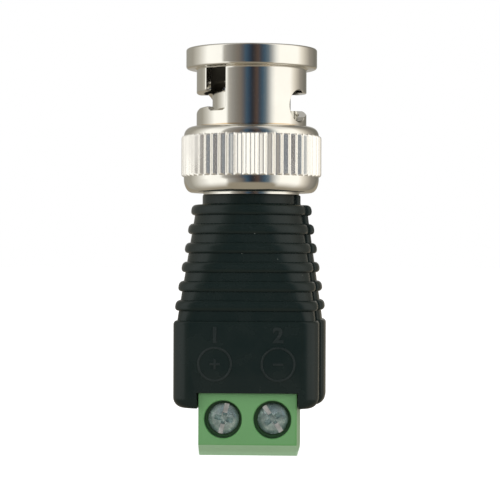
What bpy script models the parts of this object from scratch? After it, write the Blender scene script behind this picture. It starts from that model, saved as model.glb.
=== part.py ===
"""Bayonet coaxial plug with a two-pole screw terminal block, stood on the block's base face.

Metres, +Z up. The coupling axis is Z, the mating end points up and the screw heads face -Y.
"""

import math

import bmesh
import bpy
from mathutils import Matrix, Vector

MM = 0.001

# Gaps between pieces
SEAT_GAP = 0.04 * MM
RUNNING_CLEARANCE = 0.08 * MM
POCKET_CLEARANCE = 0.12 * MM
SLIDING_CLEARANCE = 0.15 * MM
WELD = 0.0005 * MM
CUT_OVERRUN = 1.0 * MM

# Terminal block
POLE_PITCH = 5.0 * MM
BLOCK_DEPTH = 10.3 * MM
BLOCK_LENGTH = 7.6 * MM
BLOCK_CHAMFER = 1.15 * MM
SCREW_HEIGHT = 3.73 * MM
SCREW_HOLE_DIAMETER = 3.8 * MM
MOUTH_BEVEL = 0.15 * MM
WIRE_ENTRY_WIDTH = 2.9 * MM
WIRE_ENTRY_FLARE = 0.25 * MM
BAR_SOCKET_DEPTH = 0.9 * MM

# Terminal screws, clamp cages and contact bars
SCREW_DIAMETER = 2.2 * MM
HEAD_DIAMETER = 3.0 * MM
HEAD_HEIGHT = 0.8 * MM
HEAD_EDGE = 0.3 * MM
HEAD_SETBACK = 1.0 * MM
DRIVE_SLOT_WIDTH = 0.55 * MM
DRIVE_SLOT_DEPTH = 0.4 * MM
CLAMP_TRAVEL = 2.0 * MM
CAGE_LENGTH = 3.4 * MM
CAGE_WALL = 0.45 * MM
CAGE_NUT_WALL = 0.8 * MM
CLAMPED_GAP = 0.3 * MM
BAR_THICKNESS = 0.8 * MM
TAIL_LENGTH = 1.6 * MM

# Housing
BLOCK_REVEAL = 4.82 * MM
SIDE_WALL = 2.385 * MM
REAR_WALL = 1.0 * MM
FRONT_WALL = 0.7 * MM
BOX_HEIGHT = 8.88 * MM
BOX_CORNER = 1.8 * MM
BOX_TOP_ROUND = 0.4 * MM
FOOT_ROUND = 1.05 * MM
FOOT_EDGE_ROUND = 0.35 * MM
NOTCH_HEIGHT = 1.6 * MM
FRONT_SHELL_OFFSET = 0.26 * MM
REAR_SHELL_OFFSET = 0.32 * MM
SEAM_GAP = 0.05 * MM
RIB_COUNT = 6
RIB_PITCH = 1.955 * MM
RIB_HEIGHT = 0.46 * MM
RIB_THICKNESS = 1.1 * MM
RIB_ROUND = 0.3 * MM
FIRST_RIB_RISE = 1.5 * MM
TAPER_FOOT_STEP = 0.39 * MM
TAPER_STEP = 0.7 * MM
NECK_WALL = 0.875 * MM
NECK_RISE = 1.445 * MM
LINK_ROOM_DEPTH = 6.0 * MM
LINK_ROOM_HEIGHT = 5.8 * MM

# Plug core
STEM_DIAMETER = 7.8 * MM
STEM_LENGTH = 7.2 * MM
STEM_WALL = 1.46 * MM
JOURNAL_STEP = 0.15 * MM
FLANGE_STEP = 0.77 * MM
FLANGE_THICKNESS = 1.2 * MM
RING_OVERHANG = 0.92 * MM
RING_THICKNESS = 0.22 * MM
CONTACT_WALL = 0.6 * MM
CONTACT_SEAT = 1.0 * MM
CONTACT_REACH = 7.68 * MM
CONTACT_TAPER = 0.75 * MM
CONTACT_TIP_STEP = 0.2 * MM
CONTACT_SLOT_WIDTH = 0.5 * MM
CONTACT_SLOT_LENGTH = 4.2 * MM
INSULATOR_REACH = 3.2 * MM
INSULATOR_STEP = 1.0 * MM
PIN_DIAMETER = 1.35 * MM
PIN_BODY_DIAMETER = 2.1 * MM
PIN_SETBACK = 0.7 * MM
PIN_TAIL = 0.9 * MM
GASKET_THICKNESS = 0.9 * MM
WASHER_THICKNESS = 0.3 * MM
SPRING_HEIGHT = 1.05 * MM
SPRING_SHEET = 0.2 * MM
SPRING_WAVES = 3
LINK_DIAMETER = 0.8 * MM

# Coupling nut
NUT_LIP = 0.62 * MM
NUT_RECESS_DEPTH = 0.16 * MM
BAND_STEP = 0.255 * MM
BAND_HEIGHT = 1.97 * MM
BAND_CORNER = 1.4 * MM
KNURL_STEP = 1.56 * MM
KNURL_LENGTH = 3.97 * MM
KNURL_DEPTH = 0.3 * MM
KNURL_RUNOUT = 0.14 * MM
KNURL_RIDGES = 51
SHOULDER_HEIGHT = 1.1 * MM
BARREL_WALL = 0.79 * MM
BARREL_LENGTH = 5.95 * MM
RIM_STEP = 1.085 * MM
RIM_HEIGHT = 2.1 * MM
RIM_ROUND = 0.25 * MM
RIM_FILLET = 0.3 * MM

# Bayonet slots: angles run from the front towards the left, heights down from the rim's face
LUG_GROOVE_DEPTH = 0.7 * MM
ENTRY_ANGLE = math.radians(27.5)
ENTRY_WIDTH = 2.6 * MM
SLOT_FLOOR_DROP = 6.4 * MM
RAMP_TOP_DROP = 4.45 * MM
RAMP_END_DROP = 4.7 * MM
RAMP_END_ANGLE = math.radians(104.0)
DETENT_ANGLE = math.radians(120.0)
DETENT_DROP = 6.05 * MM
DETENT_DIAMETER = 3.3 * MM

# Worked out from the sizes above
BLOCK_WIDTH = 2 * POLE_PITCH
BOX_WIDTH = BLOCK_WIDTH + 2 * SIDE_WALL
BOX_DEPTH = BLOCK_DEPTH + FRONT_WALL + REAR_WALL
BLOCK_FRONT = -BOX_DEPTH / 2 + FRONT_WALL
BLOCK_BACK = BLOCK_FRONT + BLOCK_DEPTH
BOX_TOP = BLOCK_REVEAL + BOX_HEIGHT
TOP_RIB = BOX_TOP + FIRST_RIB_RISE + (RIB_COUNT - 1) * RIB_PITCH
HOUSING_TOP = TOP_RIB + NECK_RISE
NECK_DIAMETER = STEM_DIAMETER + 2 * NECK_WALL
TAPER_TOP_DIAMETER = NECK_DIAMETER + 2 * TAPER_STEP
NOTCH_TOP = BLOCK_REVEAL + NOTCH_HEIGHT

HEAD_TOP = BLOCK_FRONT + HEAD_SETBACK
HEAD_SEAT = HEAD_TOP + HEAD_HEIGHT
CAGE_FRONT = HEAD_SEAT + CLAMP_TRAVEL + SLIDING_CLEARANCE
BAR_FRONT = CAGE_FRONT + CAGE_NUT_WALL + SLIDING_CLEARANCE
BAR_BACK = BAR_FRONT + BAR_THICKNESS
WIRE_ROOM = CLAMP_TRAVEL + CLAMPED_GAP
CAGE_BACK = BAR_BACK + WIRE_ROOM + CAGE_WALL
CAGE_WIDTH = SCREW_DIAMETER + 2 * (SLIDING_CLEARANCE + CAGE_WALL)
BAR_WIDTH = CAGE_WIDTH - 2 * CAGE_WALL - 2 * SLIDING_CLEARANCE
TAIL_TOP = BLOCK_LENGTH + TAIL_LENGTH

JOURNAL_DIAMETER = STEM_DIAMETER + 2 * JOURNAL_STEP
FLANGE_DIAMETER = JOURNAL_DIAMETER + 2 * FLANGE_STEP
CONTACT_DIAMETER = JOURNAL_DIAMETER
INSULATOR_TAIL_DIAMETER = STEM_DIAMETER - 2 * (STEM_WALL + SEAT_GAP)
NUT_BORE_DIAMETER = FLANGE_DIAMETER + 2 * RUNNING_CLEARANCE
BARREL_DIAMETER = NUT_BORE_DIAMETER + 2 * BARREL_WALL
RIM_DIAMETER = BARREL_DIAMETER + 2 * RIM_STEP
KNURL_DIAMETER = BARREL_DIAMETER + 2 * KNURL_STEP
BAND_DIAMETER = KNURL_DIAMETER - 2 * BAND_STEP
LUG_SPAN = NUT_BORE_DIAMETER + 2 * LUG_GROOVE_DEPTH
RING_BOTTOM = HOUSING_TOP + SEAT_GAP
RING_TOP = RING_BOTTOM + RING_THICKNESS
JOURNAL_BOTTOM = RING_TOP + SEAT_GAP
LIP_BOTTOM = RING_TOP + SEAT_GAP
NUT_BOTTOM = LIP_BOTTOM - NUT_RECESS_DEPTH
NUT_FLOOR = LIP_BOTTOM + NUT_LIP
WASHER_BOTTOM = NUT_FLOOR + SEAT_GAP
WASHER_TOP = WASHER_BOTTOM + WASHER_THICKNESS
SPRING_BOTTOM = WASHER_TOP + SEAT_GAP
SPRING_TOP = SPRING_BOTTOM + SPRING_HEIGHT
FLANGE_BOTTOM = SPRING_TOP + SEAT_GAP
FLANGE_TOP = FLANGE_BOTTOM + FLANGE_THICKNESS
CONTACT_BOTTOM = FLANGE_TOP - CONTACT_SEAT
CONTACT_TOP = FLANGE_TOP + CONTACT_REACH
INSULATOR_BOTTOM = CONTACT_BOTTOM - INSULATOR_STEP
STEM_BOTTOM = JOURNAL_BOTTOM - STEM_LENGTH
LIP_BORE_DIAMETER = JOURNAL_DIAMETER + 2 * RUNNING_CLEARANCE
RECESS_DIAMETER = JOURNAL_DIAMETER + 2 * (RING_OVERHANG + SLIDING_CLEARANCE)

BAND_TOP = NUT_BOTTOM + BAND_HEIGHT
KNURL_TOP = BAND_TOP + KNURL_LENGTH
SHOULDER_TOP = KNURL_TOP + SHOULDER_HEIGHT
RIM_BOTTOM = SHOULDER_TOP + BARREL_LENGTH
NUT_TOP = RIM_BOTTOM + RIM_HEIGHT

TURNED_STEPS = 36
SMALL_STEPS = 24
POLES = (("left", -POLE_PITCH / 2), ("right", POLE_PITCH / 2))
DRIVE_ANGLES = {"left": math.radians(-77), "right": math.radians(56)}


def clear_scene():
    for old in list(bpy.data.objects):
        bpy.data.objects.remove(old, do_unlink=True)


def make_material(name, colour, roughness, metallic):
    material = bpy.data.materials.new(name)
    material.use_nodes = True
    shader = material.node_tree.nodes["Principled BSDF"]
    shader.inputs["Base Color"].default_value = (*colour, 1.0)
    shader.inputs["Roughness"].default_value = roughness
    shader.inputs["Metallic"].default_value = metallic
    return material


def add_object(name, shape, origin=Vector()):
    """Turn a bmesh into an object whose origin is at the given point."""
    bmesh.ops.recalc_face_normals(shape, faces=shape.faces)
    bmesh.ops.translate(shape, verts=shape.verts, vec=-Vector(origin))
    mesh = bpy.data.meshes.new(name)
    shape.to_mesh(mesh)
    shape.free()
    mesh.shade_smooth()
    mesh.set_sharp_from_angle(angle=math.radians(30))
    made = bpy.data.objects.new(name, mesh)
    made.location = origin
    bpy.context.scene.collection.objects.link(made)
    return made


def add_piece(name, shape, material, origin=Vector()):
    piece = add_object(name, shape, origin)
    piece.data.materials.append(material)
    return piece


def add_cutter(name, shape):
    cutter = add_object(name, shape)
    cutter.hide_render = True
    cutter.display_type = "WIRE"
    return cutter


def cut(piece, *cutters):
    for cutter in cutters:
        modifier = piece.modifiers.new(cutter.name, "BOOLEAN")
        modifier.operation = "DIFFERENCE"
        modifier.solver = "EXACT"
        modifier.object = cutter


def turned(profile, steps=TURNED_STEPS, closed=True):
    """Spin (radius, z) points round Z. An open profile starts and ends on the axis."""
    shape = bmesh.new()
    corners = [shape.verts.new((radius, 0.0, z)) for radius, z in profile]
    following = corners[1:] + corners[:1] if closed else corners[1:]
    edges = [shape.edges.new(pair) for pair in zip(corners, following)]
    bmesh.ops.spin(shape, geom=corners + edges, cent=(0, 0, 0), axis=(0, 0, 1),
                   angle=math.tau, steps=steps, use_merge=True)
    bmesh.ops.remove_doubles(shape, verts=shape.verts, dist=WELD)
    return shape


def tube(inner, outer, bottom, top):
    """A plain turned ring between two radii."""
    return turned([(inner, bottom), (outer, bottom), (outer, top), (inner, top)])


def rod(radius, bottom, top, steps=TURNED_STEPS):
    return turned([(0, bottom), (radius, bottom), (radius, top), (0, top)], steps, closed=False)


def box(low, high):
    """A box between two corners."""
    shape = bmesh.new()
    bmesh.ops.create_cube(shape, size=1.0)
    low, high = Vector(low), Vector(high)
    bmesh.ops.scale(shape, verts=shape.verts, vec=high - low)
    bmesh.ops.translate(shape, verts=shape.verts, vec=(low + high) / 2)
    return shape


def extruded(outline, axis, start, end):
    """Extrude an outline of 2-D points along X, Y or Z, from start to end."""
    others = [i for i in range(3) if i != axis]
    shape = bmesh.new()
    corners = []
    for point in outline:
        place = [0.0, 0.0, 0.0]
        place[axis] = start
        place[others[0]], place[others[1]] = point
        corners.append(shape.verts.new(place))
    face = shape.faces.new(corners)
    moved = bmesh.ops.extrude_face_region(shape, geom=[face])["geom"]
    along = Vector([end - start if i == axis else 0.0 for i in range(3)])
    bmesh.ops.translate(shape, verts=[v for v in moved if isinstance(v, bmesh.types.BMVert)], vec=along)
    return shape


def skin_rings(rings):
    """Join rings of equally many points, and cap the first and the last."""
    shape = bmesh.new()
    loops = [[shape.verts.new(point) for point in ring] for ring in rings]
    for lower, upper in zip(loops, loops[1:]):
        join_loops(shape, lower, upper)
    shape.faces.new(loops[0])
    shape.faces.new(loops[-1])
    return shape


def join_loops(shape, first, second):
    """Quads between two closed loops of equally many vertices."""
    for i, vertex in enumerate(first):
        after = (i + 1) % len(first)
        shape.faces.new((vertex, first[after], second[after], second[i]))


def quarter_round(steps):
    """(sine, cosine) pairs over a quarter turn."""
    return [(math.sin(math.pi / 2 * i / steps), math.cos(math.pi / 2 * i / steps)) for i in range(steps + 1)]


# Coupling nut


def circle_points(radius, z):
    turns = [math.tau * i / KNURL_RIDGES for i in range(KNURL_RIDGES)]
    return [(radius * math.cos(turn), radius * math.sin(turn), z) for turn in turns]


def knurl_points(z):
    """A star ring: each ridge has a flat top, two flanks and half a groove floor on each side."""
    pitch = math.tau / KNURL_RIDGES
    floor, top = KNURL_DIAMETER / 2 - KNURL_DEPTH, KNURL_DIAMETER / 2
    steps = ((0.12, floor), (0.24, top), (0.76, top), (0.88, floor))
    points = []
    for i in range(KNURL_RIDGES):
        for share, radius in steps:
            turn = (i + share) * pitch
            points.append((radius * math.cos(turn), radius * math.sin(turn), z))
    return points


def join_circle_to_knurl(shape, circle, star):
    """Triangles between a plain ring and a star ring with four points for each of its points."""
    count = len(circle)
    for i, here in enumerate(circle):
        after = circle[(i + 1) % count]
        a, b, c, d = star[4 * i:4 * i + 4]
        following = star[4 * (i + 1) % len(star)]
        shape.faces.new((here, a, b))
        shape.faces.new((here, b, c))
        shape.faces.new((here, c, after))
        shape.faces.new((c, d, after))
        shape.faces.new((d, following, after))


def nut_outside():
    """(radius, z) of the nut's outer side above the knurl, from the shoulder to the rim's face."""
    barrel, rim = BARREL_DIAMETER / 2, RIM_DIAMETER / 2
    shoulder = KNURL_DIAMETER / 2 - KNURL_DEPTH * 0.75
    points = [(barrel + (shoulder - barrel) * c ** 0.7, KNURL_TOP + KNURL_RUNOUT
               + (SHOULDER_HEIGHT - KNURL_RUNOUT) * s) for s, c in quarter_round(4)]
    points += [(barrel, RIM_BOTTOM - RIM_FILLET), (barrel + RIM_FILLET, RIM_BOTTOM)]
    points += [(rim - RIM_ROUND * (1 - s), RIM_BOTTOM + RIM_ROUND * (1 - c)) for s, c in quarter_round(2)]
    points += [(rim - RIM_ROUND * (1 - c), NUT_TOP - RIM_ROUND * (1 - s)) for s, c in quarter_round(2)]
    return points


def nut_inside():
    """(radius, z) down the bore to the rear lip, round the ring's recess and out to the band."""
    bore, lip, band = NUT_BORE_DIAMETER / 2, LIP_BORE_DIAMETER / 2, BAND_DIAMETER / 2
    recess = RECESS_DIAMETER / 2
    points = [(bore + RIM_ROUND, NUT_TOP), (bore, NUT_TOP - RIM_ROUND), (bore, NUT_FLOOR),
              (lip, NUT_FLOOR), (lip, LIP_BOTTOM), (recess, LIP_BOTTOM), (recess, NUT_BOTTOM)]
    points += [(band - BAND_CORNER * (1 - s), NUT_BOTTOM + BAND_CORNER * (1 - c)) for s, c in quarter_round(4)]
    points += [(band, BAND_TOP - KNURL_RUNOUT)]
    return points


def nut_body():
    shape = bmesh.new()
    stack = [circle_points(*point) for point in nut_outside() + nut_inside()]
    stack += [knurl_points(BAND_TOP + KNURL_RUNOUT), knurl_points(KNURL_TOP - KNURL_RUNOUT)]
    loops = [[shape.verts.new(point) for point in ring] for ring in stack]
    for lower, upper in zip(loops, loops[1:] + loops[:1]):
        if len(lower) == len(upper):
            join_loops(shape, lower, upper)
        elif len(lower) < len(upper):
            join_circle_to_knurl(shape, lower, upper)
        else:
            join_circle_to_knurl(shape, upper, lower)
    return shape


def slot_columns():
    """(angle, lowest z, highest z) along the bayonet slot, from its entry to the detent."""
    radius = BARREL_DIAMETER / 2
    entry_end = ENTRY_ANGLE + ENTRY_WIDTH / radius
    floor, detent = NUT_TOP - SLOT_FLOOR_DROP, NUT_TOP - DETENT_DROP
    ramp_top, ramp_end = NUT_TOP - RAMP_TOP_DROP, NUT_TOP - RAMP_END_DROP
    entry_top = RIM_BOTTOM - RIM_FILLET / 2
    reach = DETENT_DIAMETER / 2
    corner = ENTRY_WIDTH / 4
    columns = [(ENTRY_ANGLE + corner * (1 - c) / radius, floor + corner * (1 - s), entry_top)
               for s, c in quarter_round(3)]
    columns += [(entry_end, floor, entry_top)]
    step_angle = math.radians(0.6)
    run = RAMP_END_ANGLE - entry_end - step_angle
    for i in range(6):
        share = i / 5
        drop = max(0.0, share - 0.6) * 1.25
        columns.append((entry_end + step_angle + run * share, floor - drop * reach * 0.7,
                        ramp_top + (ramp_end - ramp_top) * share))
    for i in range(1, 9):
        along = -0.75 + 1.74 * i / 8
        half = reach * math.sqrt(1 - along * along)
        columns.append((DETENT_ANGLE + along * reach / radius, detent - half, detent + half))
    return columns


def curved_bar(columns, inner, outer, turn):
    """A solid that follows the columns round the axis, between two radii."""
    rings = []
    for angle, low, high in columns:
        across = (-math.sin(angle + turn), -math.cos(angle + turn))
        rings.append([(radius * across[0], radius * across[1], z)
                      for radius, z in ((inner, low), (outer, low), (outer, high), (inner, high))])
    return skin_rings(rings)


def bayonet_cutters():
    """The two slots through the barrel wall, and the two lug grooves inside the rim."""
    inner = (CONTACT_DIAMETER + NUT_BORE_DIAMETER) / 4
    outer = (BARREL_DIAMETER + RIM_DIAMETER) / 4
    columns = slot_columns()
    entry_run = ENTRY_WIDTH / (BARREL_DIAMETER / 2)
    entry = [(ENTRY_ANGLE + entry_run * i / 3, RIM_BOTTOM - 2 * RIM_FILLET, NUT_TOP + CUT_OVERRUN) for i in range(4)]
    for side, turn in (("left", 0.0), ("right", math.pi)):
        yield add_cutter(f"cutter_slot_{side}", curved_bar(columns, inner, outer, turn))
        yield add_cutter(f"cutter_groove_{side}", curved_bar(entry, inner, LUG_SPAN / 2, turn))


def make_coupling_nut(material):
    cut(add_piece("coupling_nut", nut_body(), material), *bayonet_cutters())


# Plug core


def make_plug_body(material):
    """The turned core: contact seat, flange, nut journal and a ridged stem in the housing."""
    contact_seat = CONTACT_DIAMETER / 2 + SEAT_GAP
    step_seat = CONTACT_DIAMETER / 2 - CONTACT_WALL
    tail_bore = INSULATOR_TAIL_DIAMETER / 2 + SEAT_GAP
    stem, journal, flange = STEM_DIAMETER / 2, JOURNAL_DIAMETER / 2, FLANGE_DIAMETER / 2
    groove_low = STEM_BOTTOM + STEM_LENGTH * 0.35
    groove_high = STEM_BOTTOM + STEM_LENGTH * 0.5
    groove = stem - NECK_WALL / 3
    profile = [(tail_bore, STEM_BOTTOM), (stem, STEM_BOTTOM), (stem, groove_low), (groove, groove_low),
               (groove, groove_high), (stem, groove_high), (stem, JOURNAL_BOTTOM), (journal, JOURNAL_BOTTOM),
               (journal, FLANGE_BOTTOM), (flange, FLANGE_BOTTOM), (flange, FLANGE_TOP),
               (contact_seat, FLANGE_TOP), (contact_seat, CONTACT_BOTTOM), (step_seat, CONTACT_BOTTOM),
               (step_seat, INSULATOR_BOTTOM), (tail_bore, INSULATOR_BOTTOM)]
    add_piece("plug_body", turned(profile), material)


def make_outer_contact(material):
    """The slotted sleeve that enters the mating connector."""
    outer = CONTACT_DIAMETER / 2
    inner = outer - CONTACT_WALL
    profile = [(inner, CONTACT_BOTTOM + SEAT_GAP), (outer, CONTACT_BOTTOM + SEAT_GAP),
               (outer, CONTACT_TOP - CONTACT_TAPER), (outer - CONTACT_TIP_STEP, CONTACT_TOP), (inner, CONTACT_TOP)]
    sleeve = add_piece("outer_contact", turned(profile, steps=32), material)
    half_slot, low = CONTACT_SLOT_WIDTH / 2, CONTACT_TOP - CONTACT_SLOT_LENGTH
    high, reach = CONTACT_TOP + CUT_OVERRUN, outer + CUT_OVERRUN
    quarter_turn = Matrix.Rotation(math.radians(90), 3, "Z")
    eighth_turn = Matrix.Rotation(math.radians(45), 3, "Z")
    first = box((-reach, -half_slot, low), (reach, half_slot, high))
    bmesh.ops.rotate(first, verts=first.verts, matrix=eighth_turn)
    second = first.copy()
    bmesh.ops.rotate(second, verts=second.verts, matrix=quarter_turn)
    cut(sleeve, add_cutter("cutter_contact_slot_a", first), add_cutter("cutter_contact_slot_b", second))


def make_insulator(material):
    wide = CONTACT_DIAMETER / 2 - CONTACT_WALL - SEAT_GAP
    tail = INSULATOR_TAIL_DIAMETER / 2
    bore = PIN_BODY_DIAMETER / 2 + SEAT_GAP
    low, step, high = STEM_BOTTOM - SEAT_GAP, INSULATOR_BOTTOM + SEAT_GAP, FLANGE_TOP + INSULATOR_REACH
    profile = [(bore, low), (tail, low), (tail, step), (wide, step), (wide, high), (bore, high)]
    add_piece("insulator", turned(profile, steps=32), material)


def make_centre_pin(material):
    body, pin = PIN_BODY_DIAMETER / 2, PIN_DIAMETER / 2
    low, high = STEM_BOTTOM - PIN_TAIL, CONTACT_TOP - PIN_SETBACK
    step = FLANGE_TOP + INSULATOR_REACH - SEAT_GAP
    profile = [(0, low), (body, low), (body, step), (pin, step), (pin, high - pin)]
    profile += [(pin * c, high - pin * (1 - s)) for s, c in quarter_round(3)][1:-1] + [(0, high)]
    add_piece("centre_pin", turned(profile, steps=SMALL_STEPS, closed=False), material)


def make_rings(plated, rubber, steel):
    """Gasket, thrust washer and rear retaining ring."""
    gasket_inner = CONTACT_DIAMETER / 2 + SEAT_GAP
    gasket_outer = FLANGE_DIAMETER / 2
    gasket_bottom = FLANGE_TOP + SEAT_GAP
    add_piece("front_gasket", tube(gasket_inner, gasket_outer, gasket_bottom, gasket_bottom + GASKET_THICKNESS), rubber)
    washer_inner = JOURNAL_DIAMETER / 2 + RUNNING_CLEARANCE
    washer_outer = FLANGE_DIAMETER / 2
    add_piece("thrust_washer", tube(washer_inner, washer_outer, WASHER_BOTTOM, WASHER_TOP), steel)
    ring_inner = STEM_DIAMETER / 2 + SEAT_GAP
    ring_outer = JOURNAL_DIAMETER / 2 + RING_OVERHANG
    add_piece("retaining_ring", tube(ring_inner, ring_outer, RING_BOTTOM, RING_TOP), plated)


def make_wave_spring(steel):
    """A flat ring bent into waves between the thrust washer and the flange."""
    inner = JOURNAL_DIAMETER / 2 + RUNNING_CLEARANCE
    outer = FLANGE_DIAMETER / 2
    swing = (SPRING_HEIGHT - SPRING_SHEET) / 2
    middle = (SPRING_BOTTOM + SPRING_TOP) / 2
    shape = bmesh.new()
    loops = [[], [], [], []]
    for i in range(12 * SPRING_WAVES):
        turn = math.tau * i / (12 * SPRING_WAVES)
        z = middle + swing * math.sin(SPRING_WAVES * turn)
        half = SPRING_SHEET / 2
        for loop, radius, height in zip(loops, (inner, outer, outer, inner), (z - half, z - half, z + half, z + half)):
            loop.append(shape.verts.new((radius * math.cos(turn), radius * math.sin(turn), height)))
    for first, second in zip(loops, loops[1:] + loops[:1]):
        join_loops(shape, first, second)
    add_piece("wave_spring", shape, steel)


def make_link(name, points, material):
    """A soldered wire along a smooth run of points."""
    curve = bpy.data.curves.new(name, "CURVE")
    curve.dimensions = "3D"
    curve.bevel_depth = LINK_DIAMETER / 2
    curve.bevel_resolution = 2
    curve.use_fill_caps = True
    spline = curve.splines.new("POLY")
    spline.points.add(len(points) - 1)
    for point, place in zip(spline.points, points):
        point.co = (*place, 1.0)
    curve.materials.append(material)
    bpy.context.scene.collection.objects.link(bpy.data.objects.new(name, curve))


def s_bend(start, end, steps=12):
    """Points from start down to end that leave and arrive straight along Z."""
    points = []
    for i in range(steps + 1):
        share = i / steps
        eased = share * share * (3 - 2 * share)
        points.append(tuple(start[j] + (end[j] - start[j]) * (share if j == 2 else eased) for j in range(3)))
    return points


def make_links(material):
    tail_y = (BAR_FRONT + BAR_BACK) / 2
    low = TAIL_TOP + SEAT_GAP
    pin_end = (0.0, 0.0, STEM_BOTTOM - PIN_TAIL - SEAT_GAP)
    wall_middle = (STEM_DIAMETER / 2 + INSULATOR_TAIL_DIAMETER / 2 + LINK_DIAMETER / 2) / 2
    body_end = (wall_middle, 0.0, STEM_BOTTOM - SEAT_GAP)
    make_link("signal_link", s_bend(pin_end, (-POLE_PITCH / 2, tail_y, low)), material)
    make_link("ground_link", s_bend(body_end, (POLE_PITCH / 2, tail_y, low)), material)


# Housing


def half_outline(half_width, half_depth, corner, side, shift):
    """One half of a rounded rectangle in plan: side -1 is the front half and 1 the rear half."""
    corner = min(corner, half_width - SEAT_GAP, half_depth - SEAT_GAP)
    seam = SEAM_GAP / 2
    arc = quarter_round(7)
    points = [(half_width, seam)]
    points += [(half_width - corner * (1 - c), half_depth - corner * (1 - s)) for s, c in arc]
    points += [(-half_width + corner * (1 - c), half_depth - corner * (1 - s)) for s, c in reversed(arc)]
    points += [(-half_width, seam)]
    return [(x + shift, y * side) for x, y in points]


def groove_section(z):
    """Half width, half depth and corner radius of the housing between its ribs, at a height."""
    share = (z - BOX_TOP) / (TOP_RIB - BOX_TOP)
    low = [size - TAPER_FOOT_STEP for size in (BOX_WIDTH / 2, BOX_DEPTH / 2, BOX_CORNER)]
    high = [TAPER_TOP_DIAMETER / 2] * 3
    return [a + (b - a) * share for a, b in zip(low, high)]


def shell_sections():
    """(half width, half depth, corner radius, z) from the housing's foot to its neck."""
    width, depth = BOX_WIDTH / 2, BOX_DEPTH / 2
    sections = []
    for s, c in quarter_round(4):
        inset, edge_inset = FOOT_ROUND * (1 - s), FOOT_EDGE_ROUND * (1 - s)
        sections.append((width - inset, depth - edge_inset, BOX_CORNER, BLOCK_REVEAL + FOOT_ROUND * (1 - c)))
    for s, c in quarter_round(3):
        inset = BOX_TOP_ROUND * (1 - c)
        sections.append((width - inset, depth - inset, BOX_CORNER - inset, BOX_TOP - BOX_TOP_ROUND * (1 - s)))
    for i in range(RIB_COUNT):
        middle = BOX_TOP + FIRST_RIB_RISE + i * RIB_PITCH
        for end in (-1, 1):
            rounds = quarter_round(2) if end < 0 else reversed(quarter_round(2))
            for s, c in rounds:
                z = middle + end * (RIB_THICKNESS / 2 - RIB_ROUND * (1 - c))
                sections.append((*[size + RIB_HEIGHT * s for size in groove_section(z)], z))
    neck = NECK_DIAMETER / 2
    sections.append((neck, neck, neck, TOP_RIB + RIB_THICKNESS / 2 + RIB_ROUND / 2))
    sections.append((neck, neck, neck, HOUSING_TOP))
    return sections


def pocket_cutter():
    """Room for the terminal block, open below and through the front wall under the notch's edge."""
    front, back = BLOCK_FRONT - POCKET_CLEARANCE, BLOCK_BACK + POCKET_CLEARANCE
    top, outside = BLOCK_LENGTH + POCKET_CLEARANCE, -BOX_DEPTH / 2 - CUT_OVERRUN
    outline = [(outside, 0), (back, 0), (back, top), (front, top), (front, NOTCH_TOP), (outside, NOTCH_TOP)]
    half = BLOCK_WIDTH / 2 + POCKET_CLEARANCE
    return add_cutter("cutter_pocket", extruded(outline, 0, -half, half))


def link_room_cutters():
    """The room for the solder tails, and the stem's bore above it."""
    half = (POLE_PITCH + BAR_WIDTH) / 2 + LINK_DIAMETER
    low = BLOCK_LENGTH - POCKET_CLEARANCE
    high = BLOCK_LENGTH + LINK_ROOM_HEIGHT
    room = box((-half, -LINK_ROOM_DEPTH / 2, low), (half, LINK_ROOM_DEPTH / 2, high))
    bore = rod(STEM_DIAMETER / 2 + SEAT_GAP, high - POCKET_CLEARANCE, HOUSING_TOP + CUT_OVERRUN)
    return add_cutter("cutter_link_room", room), add_cutter("cutter_stem_bore", bore)


def make_shells(plastic):
    cutters = [pocket_cutter(), *link_room_cutters()]
    for name, side, shift in (("front_shell", -1, -FRONT_SHELL_OFFSET), ("rear_shell", 1, REAR_SHELL_OFFSET)):
        rings = [[(x, y, z) for x, y in half_outline(width, depth, corner, side, shift)]
                 for width, depth, corner, z in shell_sections()]
        cut(add_piece(name, skin_rings(rings), plastic), *cutters)


# Terminal block and its clamps


def along_y(shape, centre_x):
    """Lay a shape that was turned round Z along +Y, on a pole's screw axis."""
    bmesh.ops.rotate(shape, verts=shape.verts, matrix=Matrix.Rotation(math.radians(-90), 3, "X"))
    bmesh.ops.translate(shape, verts=shape.verts, vec=(centre_x, 0, SCREW_HEIGHT))
    return shape


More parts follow.
